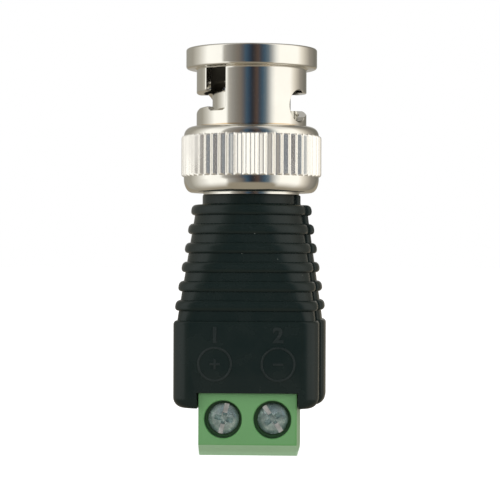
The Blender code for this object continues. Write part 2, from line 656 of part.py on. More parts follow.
def block_cutters(name, x):
    """One pole's screw bore, cage room, wire entry and bar slot."""
    room_half = CAGE_WIDTH / 2 + SLIDING_CLEARANCE + POCKET_CLEARANCE
    room_half_length = CAGE_LENGTH / 2 + SLIDING_CLEARANCE
    room_low, room_high = SCREW_HEIGHT - room_half_length, SCREW_HEIGHT + room_half_length
    room_back = CAGE_BACK + SLIDING_CLEARANCE
    hole, mouth = SCREW_HOLE_DIAMETER / 2, BLOCK_FRONT
    bore_profile = [(0, mouth - CUT_OVERRUN), (hole + MOUTH_BEVEL + CUT_OVERRUN, mouth - CUT_OVERRUN),
                    (hole + MOUTH_BEVEL, mouth), (hole, mouth + MOUTH_BEVEL),
                    (hole, HEAD_SEAT + POCKET_CLEARANCE), (0, HEAD_SEAT + POCKET_CLEARANCE)]
    yield along_y(turned(bore_profile, steps=32, closed=False), x), f"cutter_bore_{name}"
    yield box((x - room_half, HEAD_SEAT, room_low), (x + room_half, room_back, room_high)), f"cutter_room_{name}"
    half, front, back = WIRE_ENTRY_WIDTH / 2, BAR_BACK + POCKET_CLEARANCE, CAGE_BACK - CAGE_WALL - POCKET_CLEARANCE
    flare = WIRE_ENTRY_FLARE
    mouth_low = -flare
    rings = [[(x - w, front - f, z), (x + w, front - f, z), (x + w, back + f, z), (x - w, back + f, z)]
             for w, f, z in ((half + 2 * flare, 2 * flare, mouth_low), (half, 0.0, flare), (half, 0.0, room_low + flare))]
    yield skin_rings(rings), f"cutter_wire_{name}"
    bar_half = BAR_WIDTH / 2 + SEAT_GAP
    bar_low = room_low - BAR_SOCKET_DEPTH
    yield (box((x - bar_half, BAR_FRONT - SEAT_GAP, bar_low),
               (x + bar_half, BAR_BACK + SEAT_GAP, BLOCK_LENGTH + CUT_OVERRUN)), f"cutter_bar_{name}")


def make_terminal_block(plastic):
    outline = [(BLOCK_FRONT, BLOCK_CHAMFER), (BLOCK_FRONT, BLOCK_LENGTH), (BLOCK_BACK, BLOCK_LENGTH),
               (BLOCK_BACK, 0), (BLOCK_FRONT + BLOCK_CHAMFER, 0)]
    block = add_piece("terminal_block", extruded(outline, 0, -BLOCK_WIDTH / 2, BLOCK_WIDTH / 2), plastic)
    for name, x in POLES:
        cut(block, *[add_cutter(cutter_name, shape) for shape, cutter_name in block_cutters(name, x)])


def make_screws(steel):
    """Cheese-headed screws with a straight drive slot, each on its own axis."""
    head, shank = HEAD_DIAMETER / 2, SCREW_DIAMETER / 2
    tip = BAR_FRONT - SEAT_GAP
    profile = [(0, HEAD_TOP), (head - HEAD_EDGE, HEAD_TOP), (head, HEAD_TOP + HEAD_EDGE),
               (head, HEAD_SEAT - SEAT_GAP), (shank, HEAD_SEAT - SEAT_GAP), (shank, tip - shank / 4),
               (shank * 0.75, tip), (0, tip)]
    for name, x in POLES:
        origin = (x, HEAD_TOP, SCREW_HEIGHT)
        shape = along_y(turned(profile, steps=SMALL_STEPS, closed=False), x)
        screw = add_piece(f"terminal_screw_{name}", shape, steel, origin)
        slot = box((-head - CUT_OVERRUN, HEAD_TOP - CUT_OVERRUN, -DRIVE_SLOT_WIDTH / 2),
                   (head + CUT_OVERRUN, HEAD_TOP + DRIVE_SLOT_DEPTH, DRIVE_SLOT_WIDTH / 2))
        bmesh.ops.rotate(slot, verts=slot.verts, matrix=Matrix.Rotation(DRIVE_ANGLES[name], 3, "Y"))
        bmesh.ops.translate(slot, verts=slot.verts, vec=(x, 0, SCREW_HEIGHT))
        cut(screw, add_cutter(f"cutter_drive_{name}", slot))


def make_clamp_cages(steel):
    """A rectangular loop round the contact bar, with the screw's hole in its front wall."""
    half_width, half_length = CAGE_WIDTH / 2, CAGE_LENGTH / 2
    low, high = SCREW_HEIGHT - half_length, SCREW_HEIGHT + half_length
    for name, x in POLES:
        inner = half_width - CAGE_WALL
        outline = [(x - half_width, CAGE_FRONT), (x + half_width, CAGE_FRONT),
                   (x + half_width, CAGE_BACK), (x - half_width, CAGE_BACK)]
        cage = add_piece(f"clamp_cage_{name}", extruded(outline, 2, low, high), steel)
        window = box((x - inner, CAGE_FRONT + CAGE_NUT_WALL, low - CUT_OVERRUN),
                     (x + inner, CAGE_BACK - CAGE_WALL, high + CUT_OVERRUN))
        hole = along_y(rod(SCREW_DIAMETER / 2 + RUNNING_CLEARANCE, CAGE_FRONT - CUT_OVERRUN,
                           CAGE_FRONT + CAGE_NUT_WALL + SLIDING_CLEARANCE, SMALL_STEPS), x)
        cut(cage, add_cutter(f"cutter_window_{name}", window), add_cutter(f"cutter_thread_{name}", hole))


def make_contact_bars(copper):
    """Flat bars behind the screw tips, whose upper ends are the solder tails."""
    room_low = SCREW_HEIGHT - CAGE_LENGTH / 2 - SLIDING_CLEARANCE
    low = room_low - BAR_SOCKET_DEPTH + SEAT_GAP
    for name, x in POLES:
        bar = box((x - BAR_WIDTH / 2, BAR_FRONT, low), (x + BAR_WIDTH / 2, BAR_BACK, TAIL_TOP))
        add_piece(f"contact_bar_{name}", bar, copper)


def main():
    clear_scene()
    plated = make_material("plated_brass", (0.78, 0.76, 0.72), 0.18, 1.0)
    steel = make_material("zinc_steel", (0.62, 0.64, 0.64), 0.35, 1.0)
    copper = make_material("tinned_copper", (0.7, 0.68, 0.62), 0.35, 1.0)
    gold = make_material("gilt_brass", (0.85, 0.65, 0.3), 0.25, 1.0)
    black = make_material("black_plastic", (0.012, 0.017, 0.016), 0.42, 0.0)
    green = make_material("green_plastic", (0.14, 0.3, 0.12), 0.4, 0.0)
    white = make_material("white_resin", (0.85, 0.85, 0.82), 0.5, 0.0)
    rubber = make_material("seal_rubber", (0.03, 0.03, 0.03), 0.7, 0.0)
    make_coupling_nut(plated)
    make_plug_body(plated)
    make_outer_contact(plated)
    make_insulator(white)
    make_centre_pin(gold)
    make_rings(plated, rubber, steel)
    make_wave_spring(steel)
    make_links(copper)
    make_shells(black)
    make_terminal_block(green)
    make_screws(steel)
    make_clamp_cages(steel)
    make_contact_bars(copper)


main()
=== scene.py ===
"""The looks of a bayonet coaxial plug with a ribbed housing and a two-pole screw terminal block.

Sizes are in millimetres, which MM turns into Blender's metres, and angles are in degrees, unless a
docstring says otherwise.
"""

import logging
import math
from collections.abc import Callable, Iterable, Sequence
from dataclasses import dataclass, field
from enum import Enum

import bmesh
import bpy
import numpy as np
from mathutils import Matrix, Vector
from mathutils.geometry import delaunay_2d_cdt


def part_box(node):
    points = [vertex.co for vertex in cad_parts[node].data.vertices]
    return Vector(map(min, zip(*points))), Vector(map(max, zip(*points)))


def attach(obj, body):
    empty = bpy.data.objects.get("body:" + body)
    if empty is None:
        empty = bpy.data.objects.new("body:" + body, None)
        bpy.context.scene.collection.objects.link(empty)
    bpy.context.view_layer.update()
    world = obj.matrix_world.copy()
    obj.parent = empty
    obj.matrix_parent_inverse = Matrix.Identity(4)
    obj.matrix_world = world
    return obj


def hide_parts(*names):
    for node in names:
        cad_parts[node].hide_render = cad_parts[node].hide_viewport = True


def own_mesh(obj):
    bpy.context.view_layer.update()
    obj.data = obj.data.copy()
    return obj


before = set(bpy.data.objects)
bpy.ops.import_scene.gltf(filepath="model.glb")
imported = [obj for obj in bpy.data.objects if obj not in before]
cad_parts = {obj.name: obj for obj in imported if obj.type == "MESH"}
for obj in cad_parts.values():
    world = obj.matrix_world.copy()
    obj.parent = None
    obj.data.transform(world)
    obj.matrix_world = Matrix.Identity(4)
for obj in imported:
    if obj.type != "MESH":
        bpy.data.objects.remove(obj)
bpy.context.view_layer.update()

MM = 0.001
LOG = logging.getLogger("adapter")

Point = tuple[float, float]
Triple = tuple[float, float, float]
Outline = list[Point]
Piece = bpy.types.Object
Socket = bpy.types.NodeSocket
Looks = dict[str, bpy.types.Material]


class Side(Enum):
    """The two poles of the terminal block, as the screw heads face the viewer."""

    LEFT = -1
    RIGHT = 1


class Half(Enum):
    """The two moulded halves of the housing: the sign of Y that each one fills."""

    FRONT = -1
    REAR = 1


class Sign(Enum):
    """The polarity signs in the moulded rings."""

    PLUS = "plus"
    MINUS = "minus"


# Shader graphs


class Graph:
    """A node tree with short calls for adding nodes and linking them."""

    def __init__(self, tree: bpy.types.NodeTree) -> None:
        """Keep the tree, a material's or a group's, that the calls add to."""
        self.tree = tree

    def feed(self, node: bpy.types.Node, inputs: dict) -> bpy.types.Node:
        """Set or link a node's inputs.

        Args:
            node: the node.
            inputs: socket name or number to a value or to another node's output.

        Returns:
            The node.
        """
        for name, value in inputs.items():
            if isinstance(value, Socket):
                self.tree.links.new(value, node.inputs[name])
            else:
                node.inputs[name].default_value = value
        return node

    def node(self, kind: str, inputs: dict | None = None, **settings: object) -> bpy.types.Node:
        """Add a node.

        Args:
            kind: the node's type without the ShaderNode prefix.
            inputs: what its inputs get, as for feed.
            settings: the node's own properties.

        Returns:
            The new node.
        """
        made = self.tree.nodes.new("ShaderNode" + kind)
        for name, value in settings.items():
            setattr(made, name, value)
        return self.feed(made, inputs or {})

    def math(self, operation: str, *values: object) -> Socket:
        """Add a Math node with its one to three inputs, and return its output."""
        return self.node("Math", dict(enumerate(values)), operation=operation).outputs[0]

    def times(self, first: object, second: object) -> Socket:
        """Multiply two values."""
        return self.math("MULTIPLY", first, second)

    def plus(self, first: object, second: object) -> Socket:
        """Add two values."""
        return self.math("ADD", first, second)

    def vector(self, operation: str, *values: object) -> Socket:
        """Add a Vector Math node and return its output, a number for LENGTH."""
        made = self.node("VectorMath", dict(enumerate(values)), operation=operation)
        return made.outputs["Value" if operation == "LENGTH" else "Vector"]

    def place(self) -> Socket:
        """The place on the object, in metres."""
        return self.node("TexCoord").outputs["Object"]

    def split(self, vector: Socket) -> Sequence[Socket]:
        """The X, Y and Z of a vector."""
        return self.node("SeparateXYZ", {0: vector}).outputs

    def from_axis(self, parts: Sequence[Socket]) -> Socket:
        """The distance from the Z axis of a place that is given by its X, Y and Z."""
        flat = self.node("CombineXYZ", {0: parts[0], 1: parts[1], 2: 0.0}).outputs[0]
        return self.vector("LENGTH", flat)

    def noise(self, place: Socket, scale: object, detail: float, roughness: float = 0.5) -> Socket:
        """Add fractal noise, in three dimensions or along a single value.

        Args:
            place: a vector, or a value for noise along a line.
            scale: how fine it is.
            detail: its octaves.
            roughness: the weight of the finer octaves.

        Returns:
            The noise, around 0.5.
        """
        flat = place.type != "VECTOR"
        inputs = {"W" if flat else "Vector": place, "Scale": scale, "Detail": detail,
                  "Roughness": roughness}
        made = self.node("TexNoise", noise_dimensions="1D" if flat else "3D")
        return self.feed(made, inputs).outputs["Fac"]

    def stretch(self, value: Socket, low: object, high: object, to_low: float = 0.0,
                to_high: float = 1.0) -> Socket:
        """Map a value smoothly from one range to another, clamped.

        Args:
            value: what is mapped.
            low: the value that gives to_low.
            high: the value that gives to_high.
            to_low: the result at low.
            to_high: the result at high.

        Returns:
            The mapped value.
        """
        ends = {0: value, 1: low, 2: high, 3: to_low, 4: to_high}
        return self.node("MapRange", ends, interpolation_type="SMOOTHSTEP").outputs[0]

    def blend(self, share: object, first: Triple | Socket, second: Triple | Socket) -> Socket:
        """Mix two colours: a share of 0 gives the first and 1 the second."""
        first, second = ((*c, 1.0) if isinstance(c, tuple) else c for c in (first, second))
        return self.node("Mix", {0: share, 6: first, 7: second}, data_type="RGBA").outputs[2]

    def bump(self, height: Socket, depth: float, below: Socket | None = None) -> Socket:
        """Turn a height, with its depth in metres, into a normal that lies on the one below."""
        made = self.node("Bump", {"Height": height, "Distance": depth})
        return self.feed(made, {"Normal": below} if below else {}).outputs[0]

    def seen(self) -> Socket:
        """1 for what the eye sees, directly or in a reflection or through something clear."""
        camera, glossy, clear = (self.node("LightPath").outputs[f"Is {ray} Ray"]
                                 for ray in ("Camera", "Glossy", "Transmission"))
        return self.math("MAXIMUM", camera, self.math("MAXIMUM", glossy, clear))


class EffectGroup:
    """A shader node group that several finishes place with their own values."""

    def __init__(self, name: str, inputs: dict[str, float | Triple], *outputs: str) -> None:
        """Make the group with its named sockets.

        Args:
            name: the group's name.
            inputs: names and defaults. A triple of numbers makes a vector socket.
            outputs: names of float outputs.
        """
        tree = bpy.data.node_groups.new(name, "ShaderNodeTree")
        for label, default in inputs.items():
            kind = "NodeSocketVector" if isinstance(default, tuple) else "NodeSocketFloat"
            socket = tree.interface.new_socket(label, in_out="INPUT", socket_type=kind)
            socket.default_value = default
        for label in outputs:
            tree.interface.new_socket(label, in_out="OUTPUT", socket_type="NodeSocketFloat")
        self.graph = Graph(tree)
        self.start = tree.nodes.new("NodeGroupInput").outputs
        self.end = tree.nodes.new("NodeGroupOutput")
        self.place = self.graph.place()

    def give(self, **values: Socket) -> "EffectGroup":
        """Link values to the group's outputs by name, and return the group."""
        self.graph.feed(self.end, values)
        return self

    def use(self, graph: Graph, **inputs: object) -> bpy.types.bpy_prop_collection:
        """Place the group in a material.

        Args:
            graph: the material's graph.
            inputs: values or outputs for the group's inputs.

        Returns:
            The placed group's outputs.
        """
        made = graph.tree.nodes.new("ShaderNodeGroup")
        made.node_tree = self.graph.tree
        return graph.feed(made, inputs).outputs


def make_grain() -> EffectGroup:
    """Two layers of fine noise.

    Returns:
        The group, with outputs Height for bumps and Tone, a slow change.
    """
    group = EffectGroup("surface_grain", {"Fine": 9000.0, "Broad": 500.0}, "Height", "Tone")
    graph, start = group.graph, group.start
    broad = graph.noise(group.place, start["Broad"], 4.0, 0.55)
    return group.give(Height=graph.noise(group.place, start["Fine"], 3.0, 0.6),
                      Tone=graph.stretch(broad, 0.3, 0.7))


def make_turning() -> EffectGroup:
    """Fine rings round the Z axis, as a lathe leaves them.

    Returns:
        The group, with outputs Height and Lines.
    """
    group = EffectGroup("turning_marks", {"Pitch": 16000.0}, "Height", "Lines")
    graph = group.graph
    parts = graph.split(group.place)
    along = graph.plus(parts[2], graph.from_axis(parts))
    return group.give(Height=graph.noise(along, group.start["Pitch"], 2.0),
                      Lines=graph.stretch(graph.noise(along, 2600.0, 3.0), 0.35, 0.65))


def make_speck() -> EffectGroup:
    """One ragged speck at a place on the front side.

    Returns:
        The group, with output Mask.
    """
    group = EffectGroup("single_speck", {"Place": (0.0, 0.0, 0.0), "Radius": 0.00008}, "Mask")
    graph, start = group.graph, group.start
    away = graph.vector("SUBTRACT", group.place, start["Place"])
    reach = graph.vector("LENGTH", graph.vector("MULTIPLY", away, (1.0, 0.0, 1.0)))
    ragged = graph.plus(graph.noise(group.place, 14000.0, 1.0), 0.6)
    share = graph.math("DIVIDE", reach, graph.times(start["Radius"], ragged))
    inside = graph.math("SUBTRACT", 1.0, graph.math("SMOOTH_MAX", share, 0.0, 0.1))
    front = graph.math("LESS_THAN", graph.split(group.place)[1], 0.0)
    return group.give(Mask=graph.times(graph.stretch(inside, 0.0, 0.5), front))


def make_dust() -> EffectGroup:
    """Sparse tiny specks all over.

    Returns:
        The group, with output Mask.
    """
    group = EffectGroup("sparse_dust", {"Scale": 1400.0, "Share": 0.06, "Size": 0.09}, "Mask")
    graph, start = group.graph, group.start
    cells = graph.node("TexVoronoi", {"Vector": group.place, "Scale": start["Scale"]}).outputs
    draw = graph.node("SeparateColor", {0: cells["Color"]}).outputs[0]
    return group.give(Mask=graph.times(graph.math("LESS_THAN", draw, start["Share"]),
                                       graph.math("LESS_THAN", cells["Distance"], start["Size"])))


def make_edge_wear() -> EffectGroup:
    """A mask on convex edges, broken up by noise.

    Returns:
        The group, with output Mask.
    """
    group = EffectGroup("edge_wear", {"Start": 0.53, "End": 0.62}, "Mask")
    graph, start = group.graph, group.start
    noise = graph.math("SUBTRACT", graph.noise(group.place, 2200.0, 3.0), 0.5)
    lifted = graph.plus(graph.node("NewGeometry").outputs["Pointiness"], graph.times(noise, 0.05))
    return group.give(Mask=graph.stretch(lifted, start["Start"], start["End"]))


def make_dents() -> EffectGroup:
    """Scattered knocks and rubbed spots, drawn out along Z.

    Returns:
        The group, with outputs Height and Mask.
    """
    group = EffectGroup("handling_dents", {"Scale": 1500.0}, "Height", "Mask")
    graph, scale = group.graph, group.start["Scale"]
    squeezed = graph.vector("MULTIPLY", group.place, (1.0, 1.0, 0.45))
    where = graph.stretch(graph.noise(squeezed, graph.times(scale, 0.17), 1.0), 0.5, 0.66)
    fine = graph.noise(squeezed, scale, 2.0, 0.7)
    return group.give(Height=graph.times(fine, graph.plus(where, 0.08)), Mask=where)


GRAIN = make_grain()
DENTS = make_dents()
TURNING = make_turning()
SPECK = make_speck()
DUST = make_dust()
EDGE_WEAR = make_edge_wear()


# Finishes


@dataclass(frozen=True)
class Finish:
    """A finish's name and the two colours that its grain mixes."""

    name: str
    colour: Triple
    second: Triple

    def inputs(self, graph: Graph) -> dict[str, object]:
        """The shader's inputs, which each kind of finish works out in its own way."""
        raise NotImplementedError

    def material(self) -> bpy.types.Material:
        """Build the material.

        Returns:
            The finished material.
        """
        made = bpy.data.materials.new(self.name)
        made.use_nodes = True
        graph = Graph(made.node_tree)
        graph.feed(made.node_tree.nodes["Principled BSDF"], self.inputs(graph))
        return made


@dataclass(frozen=True)
class PlatedMetal(Finish):
    """Turned brass under a bright plate, with fine turning rings and slightly cloudy patches."""

    roughness: float = 0.14
    rough_patch: float = 0.22
    ring_depth: float = 0.4e-6
    grain_depth: float = 0.5e-6

    def inputs(self, graph: Graph) -> dict[str, object]:
        """Work out the shader's inputs.

        Args:
            graph: the material's graph.

        Returns:
            Socket names to values and outputs.
        """
        grain = GRAIN.use(graph, Fine=5200.0, Broad=420.0)
        rings = TURNING.use(graph, Pitch=15000.0)
        wear = EDGE_WEAR.use(graph, Start=0.55, End=0.66)["Mask"]
        lines = graph.plus(graph.times(rings["Lines"], 0.5), 0.5)
        rough = graph.stretch(graph.times(grain["Tone"], lines), 0.0, 1.0, self.roughness,
                              self.rough_patch)
        low = graph.bump(rings["Height"], self.ring_depth)
        return {
            "Base Color": graph.blend(graph.times(grain["Tone"], 0.5), self.colour, self.second),
            "Roughness": graph.plus(rough, graph.times(wear, 0.06)),
            "Metallic": 1.0,
            "Normal": graph.bump(grain["Height"], self.grain_depth, low),
        }


@dataclass(frozen=True)
class WornPlate(PlatedMetal):
    """The nut's plate: painted shade in the bore, a warm line in the shoulder's corner and a worn
    knurl.
    """

    bore_radius: float = 4.9
    bore_from: float = 37.0
    # painted shade: a near-black colour standing in for the shade inside the bore, which is also
    # rougher
    painted_bore_shade: Triple = (0.055, 0.052, 0.042)
    tarnish_at: float = 33.6
    tarnish_colour: Triple = (0.62, 0.40, 0.16)
    worn_from: float = 28.3
    worn_to: float = 32.75
    worn_colour: Triple = (0.93, 0.905, 0.85)
    dent_depth: float = 12e-6

    def masks(self, graph: Graph) -> tuple[Socket, Socket, Socket]:
        """Where the bore gets painted shade, where polish stayed in the corner, and where hands
        wear it.

        Args:
            graph: the material's graph.

        Returns:
            The three masks.
        """
        parts = graph.split(graph.place())
        radius, height = graph.from_axis(parts), parts[2]
        # bore: the inside of the bore above bore_from, which gets the painted shade
        bore = graph.times(
            graph.stretch(radius, (self.bore_radius + 0.03) * MM, (self.bore_radius + 0.12) * MM,
                          1.0, 0.0),
            graph.stretch(height, (self.bore_from - 0.3) * MM, (self.bore_from + 0.3) * MM))
        away = graph.math("ABSOLUTE", graph.math("SUBTRACT", height, self.tarnish_at * MM))
        tarnish = graph.times(graph.stretch(away, 0.05 * MM, 0.14 * MM, 1.0, 0.0),
                              GRAIN.use(graph, Fine=900.0, Broad=260.0)["Tone"])
        worn = graph.times(
            graph.stretch(height, self.worn_from * MM, (self.worn_from + 0.2) * MM),
            graph.stretch(height, (self.worn_to - 0.2) * MM, self.worn_to * MM, 1.0, 0.0))
        return bore, tarnish, worn

    def inputs(self, graph: Graph) -> dict[str, object]:
        """Work out the shader's inputs.

        Args:
            graph: the material's graph.

        Returns:
            Socket names to values and outputs.
        """
        made = super().inputs(graph)
        bore, tarnish, worn = self.masks(graph)
        dents = DENTS.use(graph, Scale=1500.0)
        tone, rough = made["Base Color"], made["Roughness"]
        # the bore's colour is painted shade; the tarnish line and the worn knurl are the plate's
        # own
        for mask, colour in ((bore, self.painted_bore_shade), (tarnish, self.tarnish_colour),
                             (worn, self.worn_colour)):
            tone = graph.blend(mask, tone, colour)
        for mask, more in ((bore, 0.3), (worn, graph.times(dents["Mask"], 0.2)), (worn, 0.1)):
            rough = graph.plus(rough, graph.times(mask, more))
        dull = graph.plus(0.22, graph.times(dents["Mask"], 0.18))
        return {
            "Base Color": tone,
            "Roughness": rough,
            "Metallic": graph.math("SUBTRACT", 1.0, graph.times(worn, dull)),
            "Normal": graph.bump(graph.times(worn, dents["Height"]), self.dent_depth,
                                 made["Normal"]),
        }


@dataclass(frozen=True)
class SheetMetal(Finish):
    """Pressed or headed metal with a satin plate: cloudy tone, small dents and rubbed edges."""

    roughness: float = 0.3
    dent_depth: float = 2.0e-6
    metallic: float = 1.0
    edge_gain: float = 1.25

    def inputs(self, graph: Graph) -> dict[str, object]:
        """Work out the shader's inputs.

        Args:
            graph: the material's graph.

        Returns:
            Socket names to values and outputs.
        """
        grain = GRAIN.use(graph, Fine=3000.0, Broad=1500.0)
        wear = EDGE_WEAR.use(graph, Start=0.52, End=0.6)["Mask"]
        bright = tuple(min(1.0, value * self.edge_gain) for value in self.colour)
        tone = graph.blend(grain["Tone"], self.colour, self.second)
        return {
            "Base Color": graph.blend(wear, tone, bright),
            "Roughness": graph.stretch(grain["Height"], 0.3, 0.7, self.roughness - 0.07,
                                       self.roughness + 0.1),
            "Metallic": self.metallic,
            "Normal": graph.bump(grain["Height"], self.dent_depth),
        }


@dataclass(frozen=True)
class MouldedPlastic(Finish):
    """Moulded plastic: fine spark-eroded grain, slow tone, rubbed edges and a little dust."""

    edge: Triple
    roughness: float = 0.38
    grain_depth: float = 1.6e-6
    specular: float = 0.5
    dust: Triple = (0.30, 0.31, 0.29)
    dust_share: float = 0.05
    specks: tuple[Triple, ...] = ()

    def with_painted_light(self, graph: Graph, tone: Socket) -> Socket:
        """The colour under the dust with any painted light; plain plastic has none and keeps its
        tone.
        """
        return tone

    def inputs(self, graph: Graph) -> dict[str, object]:
        """Work out the shader's inputs.

        Args:
            graph: the material's graph.

        Returns:
            Socket names to values and outputs.
        """
        grain = GRAIN.use(graph, Fine=7500.0, Broad=330.0)
        wear = EDGE_WEAR.use(graph, Start=0.54, End=0.68)["Mask"]
        tone = graph.blend(grain["Tone"], self.colour, self.second)
        tone = self.with_painted_light(graph, graph.blend(graph.times(wear, 0.5), tone, self.edge))
        dirt = DUST.use(graph, Share=self.dust_share)["Mask"]
        for x, z, radius in self.specks:
            spot = SPECK.use(graph, Place=(x * MM, 0.0, z * MM), Radius=radius * MM)["Mask"]
            dirt = graph.math("MAXIMUM", dirt, spot)
        rough = graph.stretch(grain["Tone"], 0.0, 1.0, self.roughness - 0.03, self.roughness + 0.05)
        return {
            "Base Color": graph.blend(dirt, tone, self.dust),
            "Roughness": graph.plus(rough, graph.times(dirt, 0.3)),
            "Specular IOR Level": self.specular,
            "Normal": graph.bump(grain["Height"], self.grain_depth),
        }


@dataclass(frozen=True)
class BlockPlastic(MouldedPlastic):
    """The terminal block's plastic, with a painted sheen below and at its sides and painted shade
    in its holes.
    """

    # painted sheen: a pale green standing in for the reflection of the bright floor and the grazing
    # light
    painted_sheen: Triple = (0.43, 0.63, 0.39)
    # painted shade: a dark green standing in for the shade inside the screw holes
    deep: Triple = (0.02, 0.055, 0.03)

    def with_painted_light(self, graph: Graph, tone: Socket) -> Socket:
        """Paint a pale sheen on the downward and side faces and paint shade into the holes.

        Args:
            graph: the material's graph.
            tone: the plain colour.

        Returns:
            The changed colour.
        """
        normal = graph.node("NewGeometry").outputs["Normal"]
        turned_back = graph.node("VectorTransform", {0: normal}, convert_from="WORLD",
                                 convert_to="OBJECT", vector_type="NORMAL").outputs[0]
        facing, at = graph.split(turned_back), graph.split(graph.place())
        across = graph.math("ABSOLUTE", at[0])
        # under: the downward faces of the foot's chamfer, which get the painted sheen
        under = graph.times(graph.stretch(facing[2], -0.6, -0.25, 1.0, 0.0),
                            graph.math("LESS_THAN", at[2], 1.4 * MM))
        # the end faces at the block's sides, which get the painted sheen
        side_sheen = graph.stretch(graph.math("ABSOLUTE", facing[0]), 0.5, 0.9, 0.0, 0.7)
        side_sheen = graph.times(side_sheen, graph.math("GREATER_THAN", across, 4.8 * MM))
        # inner: the hole walls behind the front face, which get the painted shade
        inner = graph.times(graph.stretch(at[1], -5.28 * MM, -4.9 * MM),
                            graph.math("LESS_THAN", across, 4.7 * MM))
        inner = graph.times(inner, graph.math("GREATER_THAN", at[2], 1.6 * MM))
        # blend in the painted sheen
        tone = graph.blend(graph.math("MAXIMUM", under, side_sheen), tone, self.painted_sheen)
        # darken the holes with the painted shade
        return graph.blend(graph.times(inner, 0.75), tone, self.deep)


@dataclass(frozen=True)
class SoftResin(Finish):
    """Turned white resin or seal rubber, dull, with faint turning rings."""

    roughness: float = 0.5
    scatter: float = 0.0
    scatter_reach: float = 0.0006
    mark_depth: float = 1.2e-6

    def inputs(self, graph: Graph) -> dict[str, object]:
        """Work out the shader's inputs.

        Args:
            graph: the material's graph.

        Returns:
            Socket names to values and outputs.
        """
        grain = GRAIN.use(graph, Fine=6000.0, Broad=900.0)
        rings = TURNING.use(graph, Pitch=9000.0)
        return {
            "Base Color": graph.blend(grain["Tone"], self.colour, self.second),
            "Roughness": graph.stretch(rings["Lines"], 0.0, 1.0, self.roughness - 0.05,
                                       self.roughness + 0.08),
            "Normal": graph.bump(graph.plus(grain["Height"], rings["Height"]), self.mark_depth),
            "Subsurface Weight": self.scatter,
            "Subsurface Radius": (self.scatter_reach,) * 3,
            "Subsurface Scale": 1.0,
        }


FINISHES = (
    PlatedMetal("bright_nickel", (0.80, 0.785, 0.735), (0.76, 0.74, 0.69), 0.10, 0.16),
    WornPlate("bright_nickel_nut", (0.80, 0.785, 0.735), (0.76, 0.74, 0.69), 0.09, 0.14),
    PlatedMetal("gold_flash", (0.88, 0.66, 0.30), (0.82, 0.60, 0.26), 0.2, 0.28),
    SheetMetal("zinc_steel", (0.52, 0.57, 0.58), (0.36, 0.42, 0.44)),
    SheetMetal("zinc_screw", (0.62, 0.76, 0.75), (0.30, 0.40, 0.395), 0.22, 9.0e-6, 0.65),
    # painted highlight: a pale material for the slot's ends, where they catch the light
    SheetMetal("slot_end_highlight", (0.78, 0.76, 0.74), (0.52, 0.50, 0.485), 0.4, 6.0e-6, 0.3),
    SheetMetal("tinned_copper", (0.70, 0.68, 0.62), (0.60, 0.58, 0.53), 0.34),
    MouldedPlastic("black_housing", (0.0085, 0.0155, 0.0140), (0.0104, 0.0176, 0.0160),
                   (0.014, 0.020, 0.018), 0.24, specular=0.22, dust=(0.20, 0.21, 0.19),
                   dust_share=0.02, specks=((0.67, 22.53, 0.055), (-0.62, 20.5, 0.05),
                                            (3.0, 19.95, 0.04), (5.45, 18.3, 0.035))),
    # raised_mark: the housing's plastic painted lighter, with lighter edges, as a painted highlight
    # on the raised relief
    MouldedPlastic("raised_mark", (0.0150, 0.0215, 0.0205), (0.0185, 0.0255, 0.0245),
                   (0.030, 0.036, 0.036), 0.3, specular=0.3, dust_share=0.0),
    BlockPlastic("green_block", (0.104, 0.302, 0.091), (0.114, 0.314, 0.101), (0.18, 0.37, 0.17),
                 0.42, dust=(0.24, 0.36, 0.22), dust_share=0.02),
    SoftResin("white_resin", (0.84, 0.84, 0.80), (0.78, 0.78, 0.74), scatter=0.2),
    SoftResin("seal_rubber", (0.028, 0.028, 0.028), (0.04, 0.04, 0.038), 0.65),
)


# Shapes


def add_object(name: str, data: bpy.types.ID) -> Piece:
    """Make an object and link it to the scene.

    Args:
        name: the object's name.
        data: its mesh, curve, lamp or camera.

    Returns:
        The object.
    """
    made = bpy.data.objects.new(name, data)
    bpy.context.scene.collection.objects.link(made)
    return made


def smooth(mesh: bpy.types.Mesh, sharp: float) -> None:
    """Shade a mesh smooth, apart from edges that turn more than some degrees."""
    mesh.shade_smooth()
    mesh.set_sharp_from_angle(angle=math.radians(sharp))


def mesh_object(name: str, points: Iterable[Sequence[float]], faces: Iterable[Sequence[int]],
                material: bpy.types.Material | None = None) -> Piece:
    """Make a smooth-shaded object whose faces point out.

    Args:
        name: the object's name.
        points: its corners.
        faces: corner numbers of each face.
        material: what it is made of.

    Returns:
        The object, linked to the scene.
    """
    mesh = bpy.data.meshes.new(name)
    mesh.from_pydata([tuple(value * MM for value in point) for point in points], [],
                     [tuple(face) for face in faces])
    shape = bmesh.new()
    shape.from_mesh(mesh)
    bmesh.ops.remove_doubles(shape, verts=shape.verts, dist=1e-8)
    bmesh.ops.recalc_face_normals(shape, faces=shape.faces)
    shape.to_mesh(mesh)
    shape.free()
    smooth(mesh, 35.0)
    if material is not None:
        mesh.materials.append(material)
    return add_object(name, mesh)


def even_normals(piece: Piece) -> Piece:
    """Weight a piece's normals by face area, so that flats beside small rounds stay flat."""
    piece.modifiers.new("even_normals", "WEIGHTED_NORMAL").keep_sharp = True
    return piece


def move(piece: Piece, angle: float, axis: str, x: float, y: float, z: float) -> Piece:
    """Turn a piece's mesh and move it.

    Args:
        piece: the piece.
        angle: the turn, in radians.
        axis: the name of the axis that it turns round.
        x: how far it moves along X.
        y: how far it moves along Y.
        z: how far it moves along Z.

    Returns:
        The piece.
    """
    turn = Matrix.Rotation(angle, 4, axis)
    piece.data.transform(Matrix.Translation((x * MM, y * MM, z * MM)) @ turn)
    return piece


